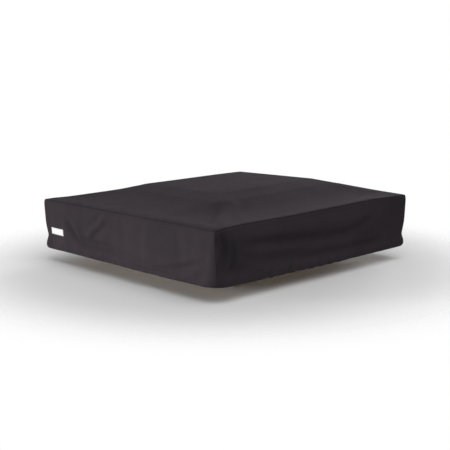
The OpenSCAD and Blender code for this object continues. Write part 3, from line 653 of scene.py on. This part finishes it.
folds = [
    ("right", [(-0.10, 0.262), (-0.17, 0.209), (-0.245, 0.158)], 0.015, -0.009),
    ("right", [(-0.42, 0.245), (-0.376, 0.191), (-0.308, 0.138), (-0.192, 0.127), (-0.06, 0.123)],
     0.018, 0.010),
    ("right", [(-0.25, 0.152), (-0.035, 0.121), (0.104, 0.102), (0.253, 0.092)], 0.015, 0.007),
    ("right", [(0.22, 0.092), (0.30, 0.100), (0.38, 0.117), (0.513, 0.158)], 0.014, 0.009),
    ("right", [(0.10, 0.100), (0.22, 0.086), (0.317, 0.088), (0.44, 0.116)], 0.012, 0.005),
    ("right", [(0.05, 0.250), (0.16, 0.200), (0.30, 0.175)], 0.026, -0.005),
    ("right", [(-0.54, 0.275), (-0.20, 0.273), (0.20, 0.276), (0.55, 0.280)], 0.009, 0.0030, 0.2),
    ("front", [(-0.575, 0.285), (-0.560, 0.220), (-0.568, 0.150), (-0.556, 0.100)], 0.016, 0.012),
    ("front", [(-0.525, 0.250), (-0.512, 0.170), (-0.525, 0.090)], 0.013, 0.011),
    ("front", [(-0.52, 0.264), (-0.25, 0.256), (0.0, 0.245), (0.18, 0.241), (0.30, 0.262), (0.37, 0.288)],
     0.032, -0.006, 0.3),
    ("front", [(-0.50, 0.224), (-0.246, 0.205), (-0.01, 0.186), (0.178, 0.182), (0.345, 0.225),
               (0.42, 0.275)], 0.018, 0.009),
    ("front", [(-0.46, 0.150), (-0.30, 0.138), (-0.10, 0.142)], 0.018, 0.006),
    ("front", [(-0.27, 0.114), (0.0, 0.114), (0.25, 0.112), (0.48, 0.110)], 0.015, 0.006),
    ("left", [(-0.45, 0.270), (-0.30, 0.205), (-0.17, 0.150)], 0.018, -0.008),
    ("left", [(0.08, 0.275), (0.20, 0.195), (0.30, 0.125)], 0.018, 0.008),
    ("left", [(-0.42, 0.118), (-0.10, 0.102), (0.20, 0.112), (0.46, 0.104)], 0.015, 0.007),
    ("left", [(0.42, 0.265), (0.47, 0.185), (0.45, 0.105)], 0.016, 0.006),
    ("rear", [(0.42, 0.270), (0.25, 0.200), (0.04, 0.170)], 0.018, 0.009),
    ("rear", [(-0.35, 0.265), (-0.24, 0.190), (-0.28, 0.120)], 0.018, -0.008),
    ("rear", [(-0.48, 0.115), (-0.10, 0.110), (0.30, 0.114), (0.50, 0.110)], 0.015, 0.007),
    ("rear", [(0.50, 0.240), (0.46, 0.170), (0.49, 0.100)], 0.016, 0.006),
    ("top", [(0.09, -0.08), (0.20, -0.15), (0.284, -0.237), (0.36, -0.35), (0.46, -0.46), (0.56, -0.57)],
     0.028, -0.004),
    ("top", [(0.16, -0.20), (0.30, -0.34), (0.42, -0.47), (0.52, -0.56)], 0.022, 0.004),
]
hem_pleats = [(-0.29, 1), (-0.235, 0.6), (-0.17, 1), (-0.115, 0.8), (-0.05, 0.5), (0.01, 1), (0.07, 0.6),
              (0.13, 0.9)]
for panel in ("front", "rear", "left"):
    for place, size in hem_pleats:
        path = [(place, 0.072 + 0.026 * size), (place - 0.018, 0.080), (place - 0.036, 0.062)]
        folds.append((panel, path, 0.013, 0.010 * size))
pressed = points_of(cover)
for fold_row in folds:
    crease(pressed, *fold_row)
set_points(cover, pressed)
print("creases:", len(folds))

# %% Round it off
round_off(cover)
wear(cover, cover_fabric)
print("cover faces:", len(cover.data.polygons))

# %% [markdown]
# ## Seams and stitching
# Where the top panel meets the skirt there is a sewn cord, and one more down each corner. A line of
# stitches holds it, and a second line above the hem makes the channel of the elastic. The seams follow
# the points of the cut. Subdivision keeps those first in the mesh, so they are easy to find.

# %% Tubes and stitches along a line
def tube(name, lines, radius, finish, closed=False, sides=2):
    """Round tubes along lines of points: a bevelled curve, turned into a mesh."""
    curve = bpy.data.curves.new(name, "CURVE")
    curve.dimensions = "3D"
    curve.bevel_depth = radius
    curve.bevel_resolution = sides
    curve.use_fill_caps = True
    for line in lines:
        spline = curve.splines.new("POLY")
        spline.points.add(len(line) - 1)
        spline.points.foreach_set("co", np.insert(np.asarray(line, float), 3, 1, axis=1).ravel())
        spline.use_cyclic_u = closed
    obj = bpy.data.objects.new(name, curve)
    bpy.context.collection.objects.link(obj)
    only(obj)
    bpy.ops.object.convert(target="MESH")
    obj = bpy.context.active_object
    bpy.ops.object.shade_smooth()
    wear(obj, finish)
    return obj


def stitching(name, lines, radius):
    """Stitches: short thin tubes of thread."""
    return tube(name, lines, radius, thread, sides=0)


def dashes(line, pitch, length):
    """Cuts a line of points into short straight stitches."""
    line = np.asarray(line, float)
    travel = np.concatenate([[0], np.cumsum(np.linalg.norm(np.diff(line, axis=0), axis=1))])
    starts = np.arange(0, travel[-1] - length, pitch)
    ends = [np.stack([np.interp(starts + more, travel, line[:, axis]) for axis in range(3)], 1)
            for more in (0, length)]
    return list(np.stack(ends, 1))


def around(mask):
    """The points of one loop of the cover, in order round it."""
    u, v = grid[:, 0], grid[:, 1]
    sides = [v <= -1 + 1e-6, u >= 1 - 1e-6, v >= 1 - 1e-6]
    lap = np.select(sides, [u + 1, 3 + v, 5 - u], 7 - v)
    found = np.nonzero(mask)[0]
    return found[np.argsort(lap[found])]


sewn = points_of(cover)[:len(grid)]
sewn_normal = normals_of(cover)[:len(grid)]
cord_lift, rim_cord_radius, corner_cord_radius = 0.0004, 0.0014, 0.0013
cord_lines = [sewn[around(on_rim)] + cord_lift * sewn_normal[around(on_rim)]]
cover_cord = tube("cover_cord", cord_lines, rim_cord_radius, seam_fabric, closed=True)
corner_lines = []
for side_x in (-1, 1):
    for side_y in (-1, 1):
        found = np.nonzero(np.isclose(grid[:, 0], side_x) & np.isclose(grid[:, 1], side_y))[0]
        corner_lines.append(sewn[found[np.argsort(row[found])]])
corner_cords = tube("corner_cords", corner_lines, corner_cord_radius, seam_fabric)
cover_seams = join([cover_cord, corner_cords], "cover_seams")

stitch_rows = (1, skirt_rows - 2)
stitch_lift, stitch_pitch, stitch_length = 0.0005, 0.0085, 0.0056
stitch_lines = []
for number in stitch_rows:
    loop = around(row == number)
    stitch_lines += dashes(sewn[loop] + stitch_lift * sewn_normal[loop], stitch_pitch, stitch_length)
cover_stitches = stitching("cover_stitches", stitch_lines, 0.0005)
print("stitches:", len(stitch_lines))

# %% [markdown]
# ## The tag
# A small blank tag is sewn on the skirt. It is a strip of woven tape, laid on the cover point by
# point, so that it follows the folds under it, with its ends turned in and a stitched border.

# %% Lay the tag
tag_low, tag_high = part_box("cover_tag")
cover_faces = [list(face.vertices) for face in cover.data.polygons]
cover_tree = BVHTree.FromPolygons(points_of(cover).tolist(), cover_faces)


def on_cover(x, z, lift):
    """The point of the cover's right side at x and z, lifted off the cloth."""
    place = cover_tree.ray_cast(Vector((x, -1, z)), Vector((0, 1, 0)))[0]
    return place + Vector((0, -lift, 0))


tag = new_grid(40, 12)
tag.name = "cover_tag_tape"
flat = points_of(tag) + 0.5
tag_x = tag_low.x + flat[:, 0] * (tag_high.x - tag_low.x)
tag_z = tag_low.z + flat[:, 1] * (tag_high.z - tag_low.z)
# Millimetres from the nearest edge: the edge is thin, and the sewn line is pressed in
edge_in = np.minimum(flat, 1 - flat)
edge_in = np.minimum(edge_in[:, 0] * 100, edge_in[:, 1] * 30)
tape_edge, tape_rise, sewn_depth = 0.0007, 0.0007, 0.0006
sewn_line = sewn_depth * np.exp(-((edge_in - 2.8) / 0.8) ** 2)
tag_lift = tape_edge + tape_rise * ease(0, 3, edge_in) - sewn_line
laid = np.array([on_cover(a, b, c) for a, b, c in zip(tag_x, tag_z, tag_lift)])
set_points(tag, laid)
map_cloth(tag, laid)
with editing(tag):
    bpy.ops.mesh.normals_make_consistent(inside=False)
if tag.data.polygons[0].normal.y > 0:
    tag.data.flip_normals()
thicken(tag, 0.0009)
apply_modifiers(tag)
bpy.ops.object.shade_smooth_by_angle(angle=math.radians(40))
wear(tag, tag_fabric)

sewn_in = 0.0028
tag_left, tag_right = tag_low.x + sewn_in, tag_high.x - sewn_in
tag_foot, tag_head = tag_low.z + sewn_in, tag_high.z - sewn_in
corners_of_tag = [(tag_left, tag_foot), (tag_right, tag_foot), (tag_right, tag_head), (tag_left, tag_head)]
border_line = []
for (ax, az), (bx, bz) in zip(corners_of_tag, corners_of_tag[1:] + corners_of_tag[:1]):
    for share in np.linspace(0, 1, 24, endpoint=False):
        border_line.append(on_cover(ax + share * (bx - ax), az + share * (bz - az), 0.0012))
border_line.append(border_line[0])
tag_stitches = stitching("tag_stitches", dashes(border_line, 0.0036, 0.0025), 0.00032)
print("tag at", [round(float(c), 3) for c in laid.mean(0)])

# %% [markdown]
# ## What the cover does when the tent opens
# The cover is taken off before the tent opens. The model has no joint for that, so the cover pieces are
# attached to the base, each with its own mesh, and the imported cover and tag are hidden.

# %% Attach the cover to the base
cover_pieces = (cover, cover_seams, cover_stitches, tag, tag_stitches)
for piece in cover_pieces:
    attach(piece, "base")
    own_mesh(piece)
    "tag_fabric" if piece in (tag, tag_stitches) else "cover_fabric"
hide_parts("travel_cover")
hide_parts("cover_tag")
print("cover pieces:", len(cover_pieces))

# %% [markdown]
# ## The mattresses
# Each half of the floor carries a foam mattress in a quilted cover. It lies flat on its board, and its
# other side is crowned, with sewn channels across it and a cord round both edges. A block is cut with
# the bisect tool where an edge or a channel needs more points, and is then shaped. It is modelled
# once, for the lower board, and a mirrored copy hangs under the upper one.

# %% Cut a block where it needs points
pad_low, pad_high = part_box("lower_mattress")
pad_half = np.array((pad_high.x - 0.001, pad_high.y - 0.001))
pad_tall = pad_high.z - pad_low.z
edge_round = 0.014
channel_step = 0.189
channels = tuple(channel_step * number for number in (-2, -1, 0, 1, 2))
channel_depth = 0.0065
crown_fall = 0.006
puff, side_hollow, middle_hollow = 0.0012, 0.006, 0.004
top_gap, foot_gap = 0.0005, 0.0006

bpy.ops.object.select_all(action="DESELECT")
bpy.ops.mesh.primitive_cube_add(size=2)
lower_pad = bpy.context.active_object
lower_pad.name = "lower_mattress_pad"
set_points(lower_pad, (points_of(lower_pad) * (*pad_half, pad_tall / 2)) + (0, 0, pad_tall / 2))
cuts = [((0, 0, h), (0, 0, 1)) for h in (0.004, 0.009, 0.014, 0.027, 0.040, 0.045, 0.050)]
for d in (0.002, 0.005, 0.009, 0.014, 0.030):
    cuts += [((side * (pad_half[0] - d), 0, 0), (1, 0, 0)) for side in (-1, 1)]
    cuts += [((0, side * (pad_half[1] - d), 0), (0, 1, 0)) for side in (-1, 1)]
cuts += [((step, 0, 0), (1, 0, 0)) for step in np.linspace(-0.48, 0.48, 25)]
beside_channel = (-0.045, -0.022, -0.010, -0.004, 0, 0.004, 0.010, 0.022, 0.045)
for line in channels:
    cuts += [((0, line + d, 0), (0, 1, 0)) for d in beside_channel]
cuts += [((0, line + channel_step / 2, 0), (0, 1, 0)) for line in (-3 * channel_step,) + channels]
with editing(lower_pad):
    for place, normal in cuts:
        bpy.ops.mesh.select_all(action="SELECT")
        bpy.ops.mesh.bisect(plane_co=place, plane_no=normal)
print("block faces:", len(lower_pad.data.polygons))

# %% Crown it, round it and sew the channels
def crown_at(x, y):
    """How far the crowned side falls from its middle to a place on it."""
    return crown_fall * (1 - (1 - x ** 2 / pad_half[0] ** 2) * (1 - y ** 2 / pad_half[1] ** 2))


raw = points_of(lower_pad)
x, y, z = raw.T
near_x = pad_half[0] - np.abs(x)
near_y = pad_half[1] - np.abs(y)
up = np.minimum(z, pad_tall - z)
crown = crown_at(x, y)
sunk = sum(np.exp(-np.abs(y - line) / 0.011) for line in channels) * channel_depth * ease(0.0, 0.05, near_x)
puffs = puff * np.array([noise.noise(Vector((a, b, 0)) * 9) for a, b in zip(x, y)])
fall = np.maximum(rolled(edge_round, near_x), rolled(edge_round, near_y))
drawn = side_hollow * np.sin(np.pi * np.clip(z / pad_tall, 0, 1)) + rolled(edge_round, up)
share = z / pad_tall
top_z = pad_tall - top_gap - crown - sunk - np.abs(puffs) - fall
bottom_z = foot_gap + fall
new_z = bottom_z + (top_z - bottom_z) * share
from_corner = 1 - np.minimum((x / pad_half[0]) ** 2, (y / pad_half[1]) ** 2)
pull_in = drawn + middle_hollow * from_corner * np.sin(np.pi * share)
wall = 0.02
new_x = np.sign(x) * np.maximum(np.abs(x) - pull_in * (near_x < wall), 0)
new_y = np.sign(y) * np.maximum(np.abs(y) - pull_in * (near_y < wall), 0)
set_points(lower_pad, np.stack([new_x, new_y, pad_low.z + new_z], 1))
map_cloth(lower_pad, raw)
round_off(lower_pad)
wear(lower_pad, mattress_fabric)
print("mattress faces:", len(lower_pad.data.polygons))

# %% Its edge cords and channel stitches
def rounded_frame(half, radius, height):
    """Points round a rectangle with round corners."""
    line = []
    for turn, (side_x, side_y) in enumerate(((1, 1), (-1, 1), (-1, -1), (1, -1))):
        for angle in np.radians(np.linspace(0, 90, 7) + 90 * turn):
            line.append((side_x * (half[0] - radius) + radius * math.cos(angle),
                         side_y * (half[1] - radius) + radius * math.sin(angle), height))
    return line


cord_half = pad_half - 0.0045
cord_heights = (pad_low.z + 0.0062, pad_high.z - 0.0118)
cord_lines = [rounded_frame(cord_half, 0.010, height) for height in cord_heights]
pad_cords = tube("lower_mattress_cords", cord_lines, 0.0028, webbing, closed=True)
pad_thread = 0.0006
pad_lines = []
for line in channels:
    channel_top = pad_high.z + pad_thread - channel_depth - top_gap
    path = [(s, line, channel_top - crown_at(s, line)) for s in np.linspace(-0.46, 0.46, 60)]
    pad_lines += dashes(path, 0.012, 0.008)
pad_stitches = stitching("lower_mattress_stitches", pad_lines, pad_thread)


def upper_copy(obj, name):
    """A mirrored copy for the upper board, with its own mesh."""
    upper_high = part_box("upper_mattress")[1]
    copy = bpy.data.objects.new(name, obj.data.copy())
    bpy.context.collection.objects.link(copy)
    at = points_of(copy)
    at[:, 2] = upper_high.z + pad_low.z - at[:, 2]
    set_points(copy, at)
    copy.data.flip_normals()
    return copy


lower_pads = [lower_pad, pad_cords, pad_stitches]
upper_pads = [upper_copy(piece, piece.name.replace("lower", "upper")) for piece in lower_pads]
halves_of_bed = ((lower_pads, "base", "lower_mattress"), (upper_pads, "upper_panel", "upper_mattress"))
for pieces, body, node in halves_of_bed:
    for piece in pieces:
        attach(piece, body)
    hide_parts(node)
print("mattress pieces:", len(lower_pads + upper_pads))

# %% [markdown]
# ## The canopy
# Open, the canopy is one sheet over three bows, from the edge of the lower floor to the edge of the
# upper one. Shut, it lies between the mattresses. So it is made as it stands when open, with its
# windows, bindings and rolled-up door, and is then folded away: each point turns back about the fold
# by its own share of the half turn. That share and the point's height in the folded stack are found
# together.

# %% The lines that the sheet is stretched over
nest_gap = 0.0004
nest_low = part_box("folded_canopy")[0].z + nest_gap
nest_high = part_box("folded_canopy")[1].z - nest_gap
bow_corners = [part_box(name)[1] for name in ("outer_bow", "middle_bow", "inner_bow")]
over_tube = 0.003
edge_reach = 0.5745 - fold_axis.y
edge_half = 0.548
reaches = [edge_reach] + [high.y - fold_axis.y + over_tube for high in bow_corners] + [edge_reach]
halves = [edge_half] + [high.x for high in bow_corners] + [edge_half]
bends = [0.050, 0.080, 0.060, 0.040, 0.050]
hinge_reach = 0.09
wall_cells, bend_cells, roof_cells = 30, 6, 48
bay_rows, flap_rows = 22, 4


def over_bow(number):
    """Points of the sheet over one bow, or at one edge, of the open tent, from hinge to hinge."""
    reach, half, bend = reaches[number], halves[number], bends[number]
    up = np.linspace(hinge_reach, reach - bend, wall_cells, endpoint=False)
    swing = np.linspace(0, math.pi / 2, bend_cells, endpoint=False)
    side_x = np.concatenate([np.full(wall_cells, half), half - bend + bend * np.cos(swing)])
    side_r = np.concatenate([up, reach - bend + bend * np.sin(swing)])
    roof_x = np.linspace(half - bend, bend - half, roof_cells + 1)
    x = np.concatenate([side_x, roof_x, -side_x[::-1]])
    r = np.concatenate([side_r, np.full(roof_cells + 1, reach), side_r[::-1]])
    if number in (0, 4):
        z = np.full(len(x), nest_low if number == 0 else 2 * fold_axis.z - nest_high)
        y = fold_axis.y + (1 if number == 0 else -1) * np.sqrt(r ** 2 - (z - fold_axis.z) ** 2)
    else:
        turn = math.radians(45 * number)
        y, z = fold_axis.y + r * math.cos(turn), fold_axis.z + r * math.sin(turn)
    return np.stack([x, y, z], 1)


bow_lines = [over_bow(number) for number in range(5)]
print("points over a bow:", len(bow_lines[0]))

# %% The sheet, with the slack that each panel has
panel_sag = 0.022
sheet_lines = []
for bay in range(4):
    for step in range(bay_rows + (bay == 3)):
        share = step / bay_rows
        row_line = bow_lines[bay] * (1 - share) + bow_lines[bay + 1] * share
        dip = 4 * panel_sag * share * (1 - share)
        row_line[:, 1:] -= dip * (row_line[:, 1:] - np.array(fold_axis)[1:])
        row_line[:, 0] *= 1 - 0.7 * dip
        sheet_lines.append(row_line)


def flap(edge, foot):
    """Lines of the sheet from the board up to one edge of the canopy."""
    shares = np.linspace(0, 1, flap_rows, endpoint=False)
    return [np.where([False, False, True], foot + (edge[0, 2] - foot) * share, edge) for share in shares]


board_gap = 0.0015
lower_flap = flap(bow_lines[0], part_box("lower_board")[1].z + board_gap)
upper_flap = flap(bow_lines[4], 2 * fold_axis.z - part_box("upper_board")[0].z + board_gap)
sheet_lines = np.array(lower_flap + sheet_lines + upper_flap[::-1])
lines_high, lines_wide = sheet_lines.shape[:2]
canopy = new_grid(lines_wide - 1, lines_high - 1)
unit = points_of(canopy) + 0.5
column = np.rint(unit[:, 0] * (lines_wide - 1)).astype(int)
line = np.rint(unit[:, 1] * (lines_high - 1)).astype(int)
standing = sheet_lines[line, column]
set_points(canopy, standing)
middle_of_tent = np.array([0, fold_axis.y, 0.5])
outward = ((standing - middle_of_tent) * normals_of(canopy)).sum()
with editing(canopy):
    if outward < 0:
        bpy.ops.mesh.flip_normals()
print("sheet:", lines_high, "by", lines_wide, "points, turned outwards:", outward > 0)

# %% Wrinkles, and the map that the threads follow
walk = np.linalg.norm(np.diff(sheet_lines, axis=1), axis=2).cumsum(1)
walk = np.concatenate([np.zeros((lines_high, 1)), walk], 1)
climb = np.linalg.norm(np.diff(sheet_lines[:, lines_wide // 2], axis=0), axis=1).cumsum()
climb = np.concatenate([[0], climb])
flat_place = np.stack([walk[line, column] - walk[line, -1] / 2, climb[line]], 1)
between = (line - flap_rows) % bay_rows / bay_rows
loose = np.where((line > flap_rows) & (line < lines_high - flap_rows - 1), np.sin(np.pi * between), 0)
pull = np.array([noise.noise(Vector((u * 7, v * 2.2, 3.1))) for u, v in flat_place])
pucker = np.array([noise.noise(Vector((u * 30, v * 6, 8.7))) for u, v in flat_place])
near_bow = loose * (1 - loose)
wrinkle = 0.007
wrinkles = wrinkle * loose * pull + wrinkle * near_bow * pucker
set_points(canopy, standing + normals_of(canopy) * wrinkles[:, None])
cloth_map = canopy.data.uv_layers.new(name="cloth")
corners = np.empty(len(canopy.data.loops), int)
canopy.data.loops.foreach_get("vertex_index", corners)
cloth_map.data.foreach_set("uv", flat_place[corners].ravel())
print("canopy cut:", round(float(walk.max()), 2), "by", round(float(climb[-1]), 2), "m")

# %% Windows, a door and their bindings
first_row, roof_start = flap_rows, wall_cells + bend_cells
left_wall, right_wall = (10, 25), (lines_wide - 26, lines_wide - 11)
windows = [(first_row + bay * bay_rows + 4, first_row + bay * bay_rows + 18, low, high)
           for bay in (1, 2) for low, high in (left_wall, right_wall)]
windows.append((first_row + 6, first_row + 17, roof_start + 10, roof_start + 38))
door = (first_row + 3 * bay_rows + 4, first_row + 4 * bay_rows - 2, roof_start + 18, roof_start + 44)
wear(canopy, canopy_fabric, window_mesh)
with editing(canopy, "DESELECT"):
    bpy.ops.mesh.select_mode(type="FACE")
for face in canopy.data.polygons:
    low_line, low_column = line[list(face.vertices)].min(), column[list(face.vertices)].min()
    for number, (a, b, c, d) in enumerate([door] + windows):
        if a <= low_line < b and c <= low_column < d:
            face.select = number == 0
            face.material_index = int(number > 0)
with editing(canopy, None):
    bpy.ops.mesh.delete(type="FACE")
thicken(canopy, 0.0012)
apply_modifiers(canopy)
print("windows:", len(windows), "faces:", len(canopy.data.polygons))


# %% Bindings round the openings, piping over the bows and the rolled-up door
def border(opening):
    """The closed line round an opening of the sheet."""
    a, b, c, d = opening
    up, over = (sheet_lines[a:b, d], sheet_lines[b:a:-1, c]), (sheet_lines[a, c:d], sheet_lines[b, d:c:-1])
    return np.concatenate([over[0], up[0], over[1], up[1]])


binding_radius, piping_radius, tie_radius = 0.0055, 0.0035, 0.004
borders = [border(opening) for opening in windows + [door]]
bindings = tube("canopy_bindings", borders, binding_radius, webbing, closed=True)
over_bows = [sheet_lines[first_row + bay * bay_rows] for bay in (1, 2, 3)]
piping = tube("canopy_piping", over_bows, piping_radius, webbing)
top_edge = sheet_lines[door[0] - 1, door[2]:door[3] + 1]
away = top_edge.mean(0) - np.array(fold_axis)
away = away * np.array([0, 1, 1]) / np.linalg.norm(away[1:])
roll_radius = 0.026
roll_middle = top_edge + away * 0.8 * roll_radius
roll_line = roll_middle.mean(0) * np.array([0, 1, 1])
tied_at = roll_middle[[5, 21], 0]
door_roll = tube("door_roll", [roll_middle], roll_radius, canopy_fabric, sides=6)
roll = points_of(door_roll)
pinch = 1 - 0.22 * sum(np.exp(-((roll[:, 0] - x) / 0.035) ** 2) for x in tied_at)
lumps = np.array([noise.noise(Vector((x * 9, y * 30, z * 30))) for x, y, z in roll])
core = roll_line + roll * np.array([1, 0, 0])
set_points(door_roll, core + (roll - core) * (pinch * (1 + 0.10 * lumps))[:, None])
spin = np.linspace(0, 2 * math.pi, 24, endpoint=False)[:, None]
side = np.array([0, -away[2], away[1]])
tie = 0.86 * roll_radius * (np.cos(spin) * away + np.sin(spin) * side)
tie_lines = [roll_line + np.array([x, 0, 0]) + tie for x in tied_at]
roll_ties = tube("roll_ties", tie_lines, tie_radius, webbing, closed=True)
canopy = join([canopy, bindings, piping, door_roll, roll_ties], "canopy_sheet")
print("canopy faces:", len(canopy.data.polygons), "finishes:", [m.name for m in canopy.data.materials])


# %% Fold it away
def fold_away(points):
    """Where the points of the open canopy lie when the tent is shut."""
    y, z = points[:, 1] - fold_axis.y, points[:, 2] - fold_axis.z
    reach = np.hypot(y, z)
    turn = np.degrees(np.arctan2(z, y))
    turn = np.where(turn < -90, turn + 360, turn)
    low, high = np.zeros(len(points)), np.ones(len(points))
    for step in range(50):
        share = (low + high) / 2
        height = nest_low + (nest_high - nest_low) * (0.5 - np.sin(np.arcsin(1 - 2 * share) / 3))
        start = np.degrees(np.arcsin(np.clip((height - fold_axis.z) / reach, -1, 1)))
        short = 180 * share + start < turn
        low, high = np.where(short, share, low), np.where(short, high, share)
    share = (low + high) / 2
    back = np.radians(-180 * share)
    y, z = y * np.cos(back) - z * np.sin(back), y * np.sin(back) + z * np.cos(back)
    return np.stack([points[:, 0], y + fold_axis.y, z + fold_axis.z], 1)


set_points(canopy, fold_away(points_of(canopy)))
only(canopy)
bpy.ops.object.shade_smooth()
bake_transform(canopy)
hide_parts("folded_canopy")
print("folded box:", points_of(canopy).min(0).round(3), points_of(canopy).max(0).round(3))

# %% [markdown]
# ## Closing straps
# Webbing holds the two halves shut: short straps on each half, folded back through their buckles and
# sewn in a box. A strap is a strip of grid, made thick by Solidify, with bevelled edges. Its second
# layer is the end that comes back out of the buckle.

# %% Weave the straps
def strap(x_middle, width, y_inner, z_from, z_to):
    """A strip of webbing on the outside of the frame."""
    strip = new_grid(8, 48)
    flat = points_of(strip) + 0.5
    rise = z_from + flat[:, 1] * (z_to - z_from)
    out = np.full(len(flat), y_inner + 0.0004)
    set_points(strip, np.stack([x_middle + (flat[:, 0] - 0.5) * width, out, rise], 1))
    map_cloth(strip, points_of(strip))
    thicken(strip, 0.0012, 0)
    edge = strip.modifiers.new("edge", "BEVEL")
    edge.width, edge.segments = 0.0003, 2
    apply_modifiers(strip)
    return strip


web_width, first_layer, second_layer, thread_layer = 0.025, 0.0003, 0.0019, 0.0030
tail_from, tail_to = 0.002, 0.034
box_from, box_to, box_half = 0.003, 0.019, 0.009


def strap_set(node, name, body, buckle_up):
    """Both straps of one half, with their sewn ends and stitches."""
    low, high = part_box(node)
    made = []
    lines = []
    for side in (-1, 1):
        middle = side * (high.x - web_width / 2)
        made.append(strap(middle, web_width, low.y + first_layer, low.z, high.z))
        end = (high.z - tail_to, high.z - tail_from) if buckle_up else (low.z + tail_from, low.z + tail_to)
        made.append(strap(middle, web_width - 0.001, low.y + second_layer, *end))
        y_out = low.y + thread_layer
        a, b = (end[0] + box_from, end[0] + box_to) if buckle_up else (end[1] - box_to, end[1] - box_from)
        left, right = middle - box_half, middle + box_half
        corners = [(left, y_out, a), (right, y_out, a), (right, y_out, b), (left, y_out, b)]
        box = corners + [corners[0], corners[2]]
        for sewn_line in (box, [corners[1], corners[3]]):
            lines += dashes(sewn_line, 0.0032, 0.0022)
    straps = join(made, name)
    wear(straps, webbing)
    sewing = stitching(name + "_stitches", lines, 0.0003)
    for piece in (straps, sewing):
        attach(piece, body)
    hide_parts(node)
    return straps


lower_web = strap_set("lower_straps", "lower_strap_webbing", "base", True)
upper_web = strap_set("upper_straps", "upper_strap_webbing", "upper_panel", False)
print("straps:", len(lower_web.data.polygons), len(upper_web.data.polygons), "faces")

# %% [markdown]
# ## Finishes for the rigid pieces
# The rails, hinges, bows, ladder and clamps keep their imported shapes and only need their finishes. Each
# name is matched to what it is made of.

# %% Dress the frame
made_of = {
    frame_metal: ("lower_long_rails", "lower_cross_rails", "upper_long_rails", "upper_cross_rails"),
    bare_aluminium: ("mount_rails",),
    bow_aluminium: ("outer_bow", "middle_bow", "inner_bow"),
    ladder_aluminium: tuple("ladder_stiles_%d" % number for number in range(1, 7)),
    steel: ("mount_rail_bolts", "lower_hinge_plates", "upper_hinge_plates", "lower_hinge_rivets",
            "upper_hinge_rivets", "hinge_bolts", "hinge_nuts", "ladder_pins", "bracket_screws",
            "front_clamp_bolts", "rear_clamp_bolts", "front_clamp_nuts", "rear_clamp_nuts"),
    clamp_metal: ("front_clamp_plates", "rear_clamp_plates", "front_clamp_jaws", "rear_clamp_jaws",
                  "ladder_brackets"),
    black_plastic: ("mount_rail_caps", "lower_corner_plugs", "upper_corner_plugs", "lower_rail_caps",
                    "upper_rail_caps", "buckle_sockets", "buckle_tongues"),
    rung_plastic: tuple("ladder_rung_%d" % number for number in range(1, 7)),
    foot_rubber: ("ladder_feet",),
    board_wood: ("lower_board", "upper_board"),
}
for finish, names in made_of.items():
    for name in names:
        wear(frame["nodes"][name], finish)
print("dressed:", sum(len(names) for names in made_of.values()), "of", len(frame["nodes"]))
